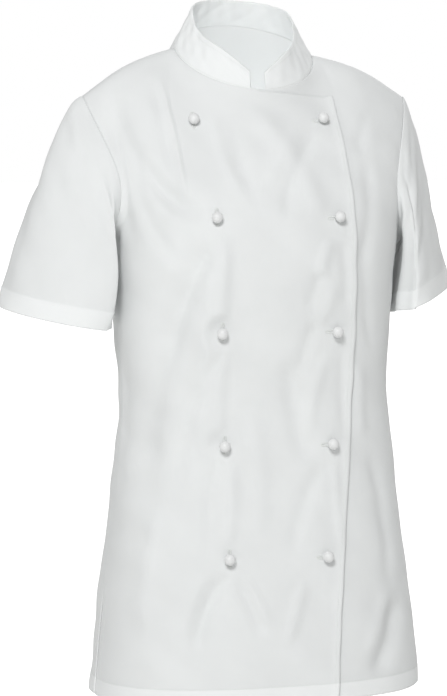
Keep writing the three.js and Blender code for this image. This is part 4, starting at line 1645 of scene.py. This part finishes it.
@dataclass
class BallStuds:
    """Ten moulded ball studs: a ball on a short neck, with a disc inside the lap."""

    form: JacketForm
    ball: float = 6.3
    flatten: float = 0.96
    neck: float = 2.0
    disc: float = 5.6
    disc_thick: float = 1.6
    slack: float = 0.8
    steps: int = 32
    ball_rings: int = 18
    # The mould's seam: its height, its angle from the neck and its width in radians
    seam: tuple[float, float, float] = (0.07, 1.75, 0.05)

    def profile(self) -> list[tuple[float, float]]:
        """Half outline of a stud as (radius, height), with the cloth's outer face at 0."""
        lapped = 2 * self.form.cloth + self.form.layer_gap
        start = math.asin(self.neck / self.ball)
        middle = self.ball * math.cos(start) * self.flatten + self.slack
        bottom = -lapped - self.slack - self.disc_thick
        points = [(0.0, bottom), (self.disc - 0.9, bottom), (self.disc - 0.25, bottom + 0.25)]
        points += [(self.disc, bottom + 0.8), (self.disc - 0.3, bottom + self.disc_thick)]
        points += [(self.neck + 0.5, bottom + self.disc_thick), (self.neck, bottom + self.disc_thick + 0.5)]
        points += [(self.neck, self.slack - 0.4), (self.neck + 0.15, self.slack + 0.1)]
        rise, at, width = self.seam
        for k in range(1, self.ball_rings):
            angle = lerp(start, math.pi, k / self.ball_rings)
            radius = self.ball + rise * math.exp(-(((angle - at) / width) ** 2))
            height = middle - self.ball * self.flatten * math.cos(angle)
            points.append((radius * math.sin(angle), height))
        return points + [(0.0, middle + self.ball * self.flatten)]

    def model(self) -> bpy.types.Object:
        """Turn the outline into one closed stud that stands along +Z."""
        outline = self.profile()
        work = bmesh.new()
        rings = []
        for radius, height in outline:
            count = self.steps if radius > 0 else 1
            turns = [2 * math.pi * k / self.steps for k in range(count)]
            flat = [(radius * MM * math.cos(turn), radius * MM * math.sin(turn)) for turn in turns]
            rings.append([work.verts.new((x, y, height * MM)) for x, y in flat])
        for low, high in zip(rings, rings[1:]):
            for k in range(self.steps):
                n = (k + 1) % self.steps
                corners = [low[k % len(low)], low[n % len(low)], high[n % len(high)], high[k % len(high)]]
                work.faces.new(list(dict.fromkeys(corners)))
        bmesh.ops.recalc_face_normals(work, faces=work.faces)
        mesh = bpy.data.meshes.new("stud_model")
        work.to_mesh(mesh)
        work.free()
        mesh.polygons.foreach_set("use_smooth", np.ones(len(mesh.polygons), bool))
        return link_object("stud_model", mesh)

    def build(self, plastic: bpy.types.Material) -> list[bpy.types.Object]:
        """Seat a stud at each place, as one piece for each node.

        Args:
            plastic: The studs' finish.

        Returns:
            The ten pieces, in the order of their places.
        """
        model = self.model()
        tree, identifiers = StudTree().build()
        pieces = []
        for number, place in enumerate(StudPlace):
            t, v = self.form.locate(Face.FRONT, *place.value)
            point = self.form.cloth_point(Face.FRONT, t, v)
            seat = SewnLine(point[None], self.form.normal(Face.FRONT, t, v)[None])
            name = f"ball_{place.node}"
            values = {"Stud": model, "Seed": number, "Plastic": plastic}
            pieces.append(grow(name, path_mesh(name, [seat]), tree, identifiers, values))
        bpy.data.objects.remove(model)
        return pieces


@dataclass
class Buttonholes:
    """Satin-stitched buttonholes, lying level in the right column and upright in the left one."""

    form: JacketForm
    length: float = 19.0
    half_width: float = 1.2
    level_shift: float = -1.6
    upright_shift: float = 1.8
    slant: float = 0.04
    straight: float = 1.35
    blunt: float = 1.9
    opening: float = 0.5
    opening_run: float = 5.0
    lift: float = 0.15
    points_round: int = 64

    def line(self, place: StudPlace) -> SewnLine:
        """The loop that the stitches of one buttonhole follow.

        Args:
            place: The stud that it is for.

        Returns:
            The loop on the cloth.
        """
        x, z = place.value
        level = place.name.startswith("LEFT")
        lengthwise = (1.0, 0.0) if level else (self.slant, 1.0)
        shift = self.level_shift if level else self.upright_shift
        half = self.length / 2 - self.half_width
        angles = np.linspace(0, 2 * math.pi, self.points_round, endpoint=False)
        c = np.cos(angles)
        run = np.clip(c * self.straight, -1, 1) * half + c * self.half_width + shift
        aside = np.clip(np.sin(angles) * self.blunt, -1, 1) * self.half_width
        aside = aside * (1 + self.opening * np.exp(-((run / self.opening_run) ** 2)))
        px = x + run * lengthwise[0] - aside * lengthwise[1]
        pz = z + run * lengthwise[1] + aside * lengthwise[0]
        t, v = self.form.locate(Face.FRONT, px, pz)
        points = self.form.cloth_point(Face.FRONT, t, v, self.lift)
        return SewnLine(points, self.form.normal(Face.FRONT, t, v), True)

    def lines(self) -> list[SewnLine]:
        """The loops of all ten buttonholes."""
        return [self.line(place) for place in StudPlace]


@dataclass
class Studio:
    """A pale floor, soft light and a camera where the photograph was taken from."""

    azimuth: float = -14.0
    elevation: float = 4.0
    distance: float = 4.0
    aim: tuple[float, float, float] = (-0.0321, -0.0320, -0.3335)
    frame_height: float = 0.7934
    sensor: float = 36
    floor_z: float = -1.55
    floor_half: float = 60.0
    sky: float = 0.46
    horizon: float = 0.52
    horizon_band: tuple[float, float] = (0.0, 0.5)
    # Name, place, width and power in watts of each lamp
    lamps: tuple[tuple[str, tuple[float, float, float], float, float], ...] = (
        ("key", (-1.55, -3.76, 2.45), 1.4, 134.0),
        ("back", (2.0, 3.4, 2.0), 2.2, 60.0),
        ("inside", (0.0, -0.03, -0.3), 0.12, 0.72),
    )

    def camera(self) -> None:
        """Place the camera with the photograph's frame."""
        turn = math.radians(self.azimuth)
        rise = math.radians(self.elevation)
        back = Vector((math.sin(turn) * math.cos(rise), -math.cos(turn) * math.cos(rise), math.sin(rise)))
        data = bpy.data.cameras.new("photo_camera")
        data.sensor_fit = "VERTICAL"
        data.sensor_height = self.sensor
        data.lens = self.sensor * self.distance / self.frame_height
        data.clip_end = 200
        camera = bpy.data.objects.new("photo_camera", data)
        camera.location = Vector(self.aim) + back * self.distance
        camera.rotation_euler = back.to_track_quat("Z", "Y").to_euler()
        bpy.context.scene.collection.objects.link(camera)
        bpy.context.scene.camera = camera

    def floor(self) -> None:
        """Lay the floor."""
        half = self.floor_half
        corners = [(-half, -half, self.floor_z), (half, -half, self.floor_z)]
        corners += [(half, half, self.floor_z), (-half, half, self.floor_z)]
        mesh = bpy.data.meshes.new("floor")
        mesh.from_pydata(corners, [], [(0, 1, 2, 3)])
        mesh.materials.append(MattePaper().material())
        link_object("floor", mesh)

    def lights(self) -> None:
        """Light with an even sky, lamps at the front left and the back right, and a small one inside."""
        world = bpy.data.worlds.new("studio_sky")
        world.use_nodes = True
        tree = world.node_tree
        way = add_node(tree, "ShaderNodeTexCoord").outputs["Generated"]
        height = add_node(tree, "ShaderNodeSeparateXYZ", inputs={"Vector": way}).outputs["Z"]
        low, high = self.horizon_band
        glow = add_node(
            tree,
            "ShaderNodeMapRange",
            {"interpolation_type": "SMOOTHSTEP"},
            {"Value": height, "From Min": low, "From Max": high, "To Min": self.horizon, "To Max": self.sky},
        ).outputs["Result"]
        tree.links.new(seen_white(tree, glow), tree.nodes["Background"].inputs["Strength"])
        tree.nodes["Background"].inputs["Color"].default_value = (1, 1, 1, 1)
        bpy.context.scene.world = world
        for name, place, size, power in self.lamps:
            inside = name == "inside"
            data = bpy.data.lights.new(name, "POINT" if inside else "AREA")
            data.energy = power
            if inside:
                data.shadow_soft_size = size / 2
            else:
                data.shape = "DISK"
                data.size = size
            lamp = bpy.data.objects.new(name, data)
            lamp.location = place
            lamp.visible_camera = False
            lamp.rotation_euler = (Vector(place) - Vector(self.aim)).to_track_quat("Z", "Y").to_euler()
            bpy.context.scene.collection.objects.link(lamp)

    def build(self) -> None:
        """Set up the whole studio."""
        bpy.context.scene.view_settings.view_transform = "Standard"
        self.camera()
        self.floor()
        self.lights()


class SheetCut(Enum):
    """Each cloth piece's cut before sewing: width and length in metres, area in square metres."""

    right_front = (0.34, 0.76, 0.222)
    left_front = (0.34, 0.76, 0.224)
    back = (0.5, 0.78, 0.333)
    right_sleeve = (0.42, 0.21, 0.063)
    left_sleeve = (0.42, 0.19, 0.056)
    collar = (0.44, 0.042, 0.015)


def cloth_area(piece: bpy.types.Object) -> float:
    """Area of one side of a shell, in square metres."""
    return sum(face.area for face in piece.data.polygons) / 2


@dataclass
class Jacket:
    """The whole jacket: six shells of cloth, their sewing, and ten studs."""

    form: JacketForm = field(default_factory=JacketForm)

    def cloth_parts(self) -> dict[str, object]:
        """The six cloth parts by name."""
        form = self.form
        right = Sleeve(
            form,
            Side.RIGHT,
            hem=(230, -44, -294),
            crease=(-49, -51, -13),
            outer=(37, -30, 3),
            inner=(37, -30, 3),
            cap=(128, -60),
            swing=84,
            folds=(
                SleeveFold(76, 8, 0.02, 0.5, 15, -1.2),
                SleeveFold(104, -10, 0.1, 0.75, 18, 1.2),
                SleeveFold(70, 0, 0.2, 1.35, 26, 3.5),
                SleeveFold(30, 0, 0.2, 1.1, 16, 2.0),
                SleeveFold(140, 6, 0.05, 0.6, 17, -1.2),
                SleeveFold(250, -8, 0.05, 0.7, 17, -3.2),
                SleeveFold(285, 10, 0.1, 0.8, 17, 2.2),
                SleeveFold(215, 6, 0.2, 1.1, 18, 1.3),
                SleeveFold(325, 0, 0.2, 1.1, 15, -2.0),
            ),
        )
        left = Sleeve(
            form,
            Side.LEFT,
            hem=(209, -14, -280),
            crease=(-33, -77, -8),
            outer=(29, -9, 13),
            inner=(29, -46, 13),
            cap=(52, -75),
            swing=-36,
            folds=(
                SleeveFold(112, -8, 0.0, 0.55, 14, -1.2),
                SleeveFold(132, 4, 0.1, 1.1, 18, 1.0),
                SleeveFold(91, 0, 0.05, 1.25, 8, 2.2),
                SleeveFold(66, 0, 0.05, 1.25, 13, -7.0),
                SleeveFold(165, 8, 0.3, 1.0, 16, -1.4),
                SleeveFold(240, -6, 0.05, 0.7, 16, -3.0),
                SleeveFold(275, 8, 0.1, 0.9, 17, 2.2),
                SleeveFold(320, 0, 0.2, 1.1, 16, -2.0),
            ),
        )
        fronts = (FrontPanel(form, Side.RIGHT), FrontPanel(form, Side.LEFT))
        parts = (*fronts, BackPanel(form), right, left, Collar(form))
        return {part.name: part for part in parts}

    def stitch_lines(self, parts: dict[str, object]) -> dict[str, list[SewnLine]]:
        """Every row of stitches, grouped by the piece that it is sewn on."""
        right = parts["right_front"]
        left = parts["left_front"]
        back = parts["back"]
        collar = parts["collar"]
        return {
            "right_front": [right.hem_line(), right.edge_line(5.0), right.vent_line()],
            "left_front": [left.hem_line(), left.vent_line()],
            "back": [back.hem_line(), back.vent_line(Side.RIGHT), back.vent_line(Side.LEFT)],
            "right_sleeve": [parts["right_sleeve"].hem_line()],
            "left_sleeve": [parts["left_sleeve"].hem_line()],
            "collar": [collar.edge_line(), collar.foot_line()],
        }

    def build(self) -> None:
        """Build every piece and bind it to the frame."""
        twill = PolycottonTwill().material()
        stiff = PolycottonTwill(name="White polycotton twill, interlined", roughness=0.78).material()
        thread = SewingThread().material()
        plastic = MouldedStudPlastic().material()
        parts = self.cloth_parts()
        shells = {name: part.build(stiff if name == "collar" else twill) for name, part in parts.items()}
        tree, identifiers = StitchTree().build()
        sewing = {}
        for name, lines in self.stitch_lines(parts).items():
            values = {"Thread": thread}
            sewing[name] = grow(f"{name}_stitches", path_mesh(name, lines), tree, identifiers, values)
        values = {
            "Spacing": 0.62 * MM,
            "Stitch Size": (0.36 * MM, 1.1 * MM, 0.32 * MM),
            "Unevenness": 0.12,
            "Seed": 11,
            "Thread": thread,
        }
        loops = path_mesh("holes", Buttonholes(self.form).lines())
        holes = grow("buttonhole_stitches", loops, tree, identifiers, values)
        studs = BallStuds(self.form).build(plastic)
        for name, shell in shells.items():
            self.bind_cloth(name, shell, [sewing[name]] + ([holes] if name == "right_front" else []))
        for place, stud in zip(StudPlace, studs):
            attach(stud, "root")
            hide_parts(place.node)
            LOG.info("%s: %d faces", stud.name, len(stud.data.polygons))

    def bind_cloth(self, name: str, shell: bpy.types.Object, sewn: list[bpy.types.Object]) -> None:
        """Bind a shell and its stitches to the frame, and log its faces and the area of its cloth.

        Args:
            name: The node that the shell stands for.
            shell: The shell.
            sewn: The pieces of thread on it.
        """
        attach(shell, "root")
        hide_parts(name)
        for piece in sewn:
            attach(piece, "root")
            LOG.info("%s: %d faces", piece.name, len(piece.data.polygons))
        LOG.info("%s: %d faces, %.4f m2", shell.name, len(shell.data.polygons), cloth_area(shell))


def main() -> None:
    """Load the frame, and build the studio and the jacket."""
    logging.basicConfig(level=logging.INFO, format="%(name)s: %(message)s")
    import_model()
    Studio().build()
    Jacket().build()


if __name__ == "__main__":
    main()
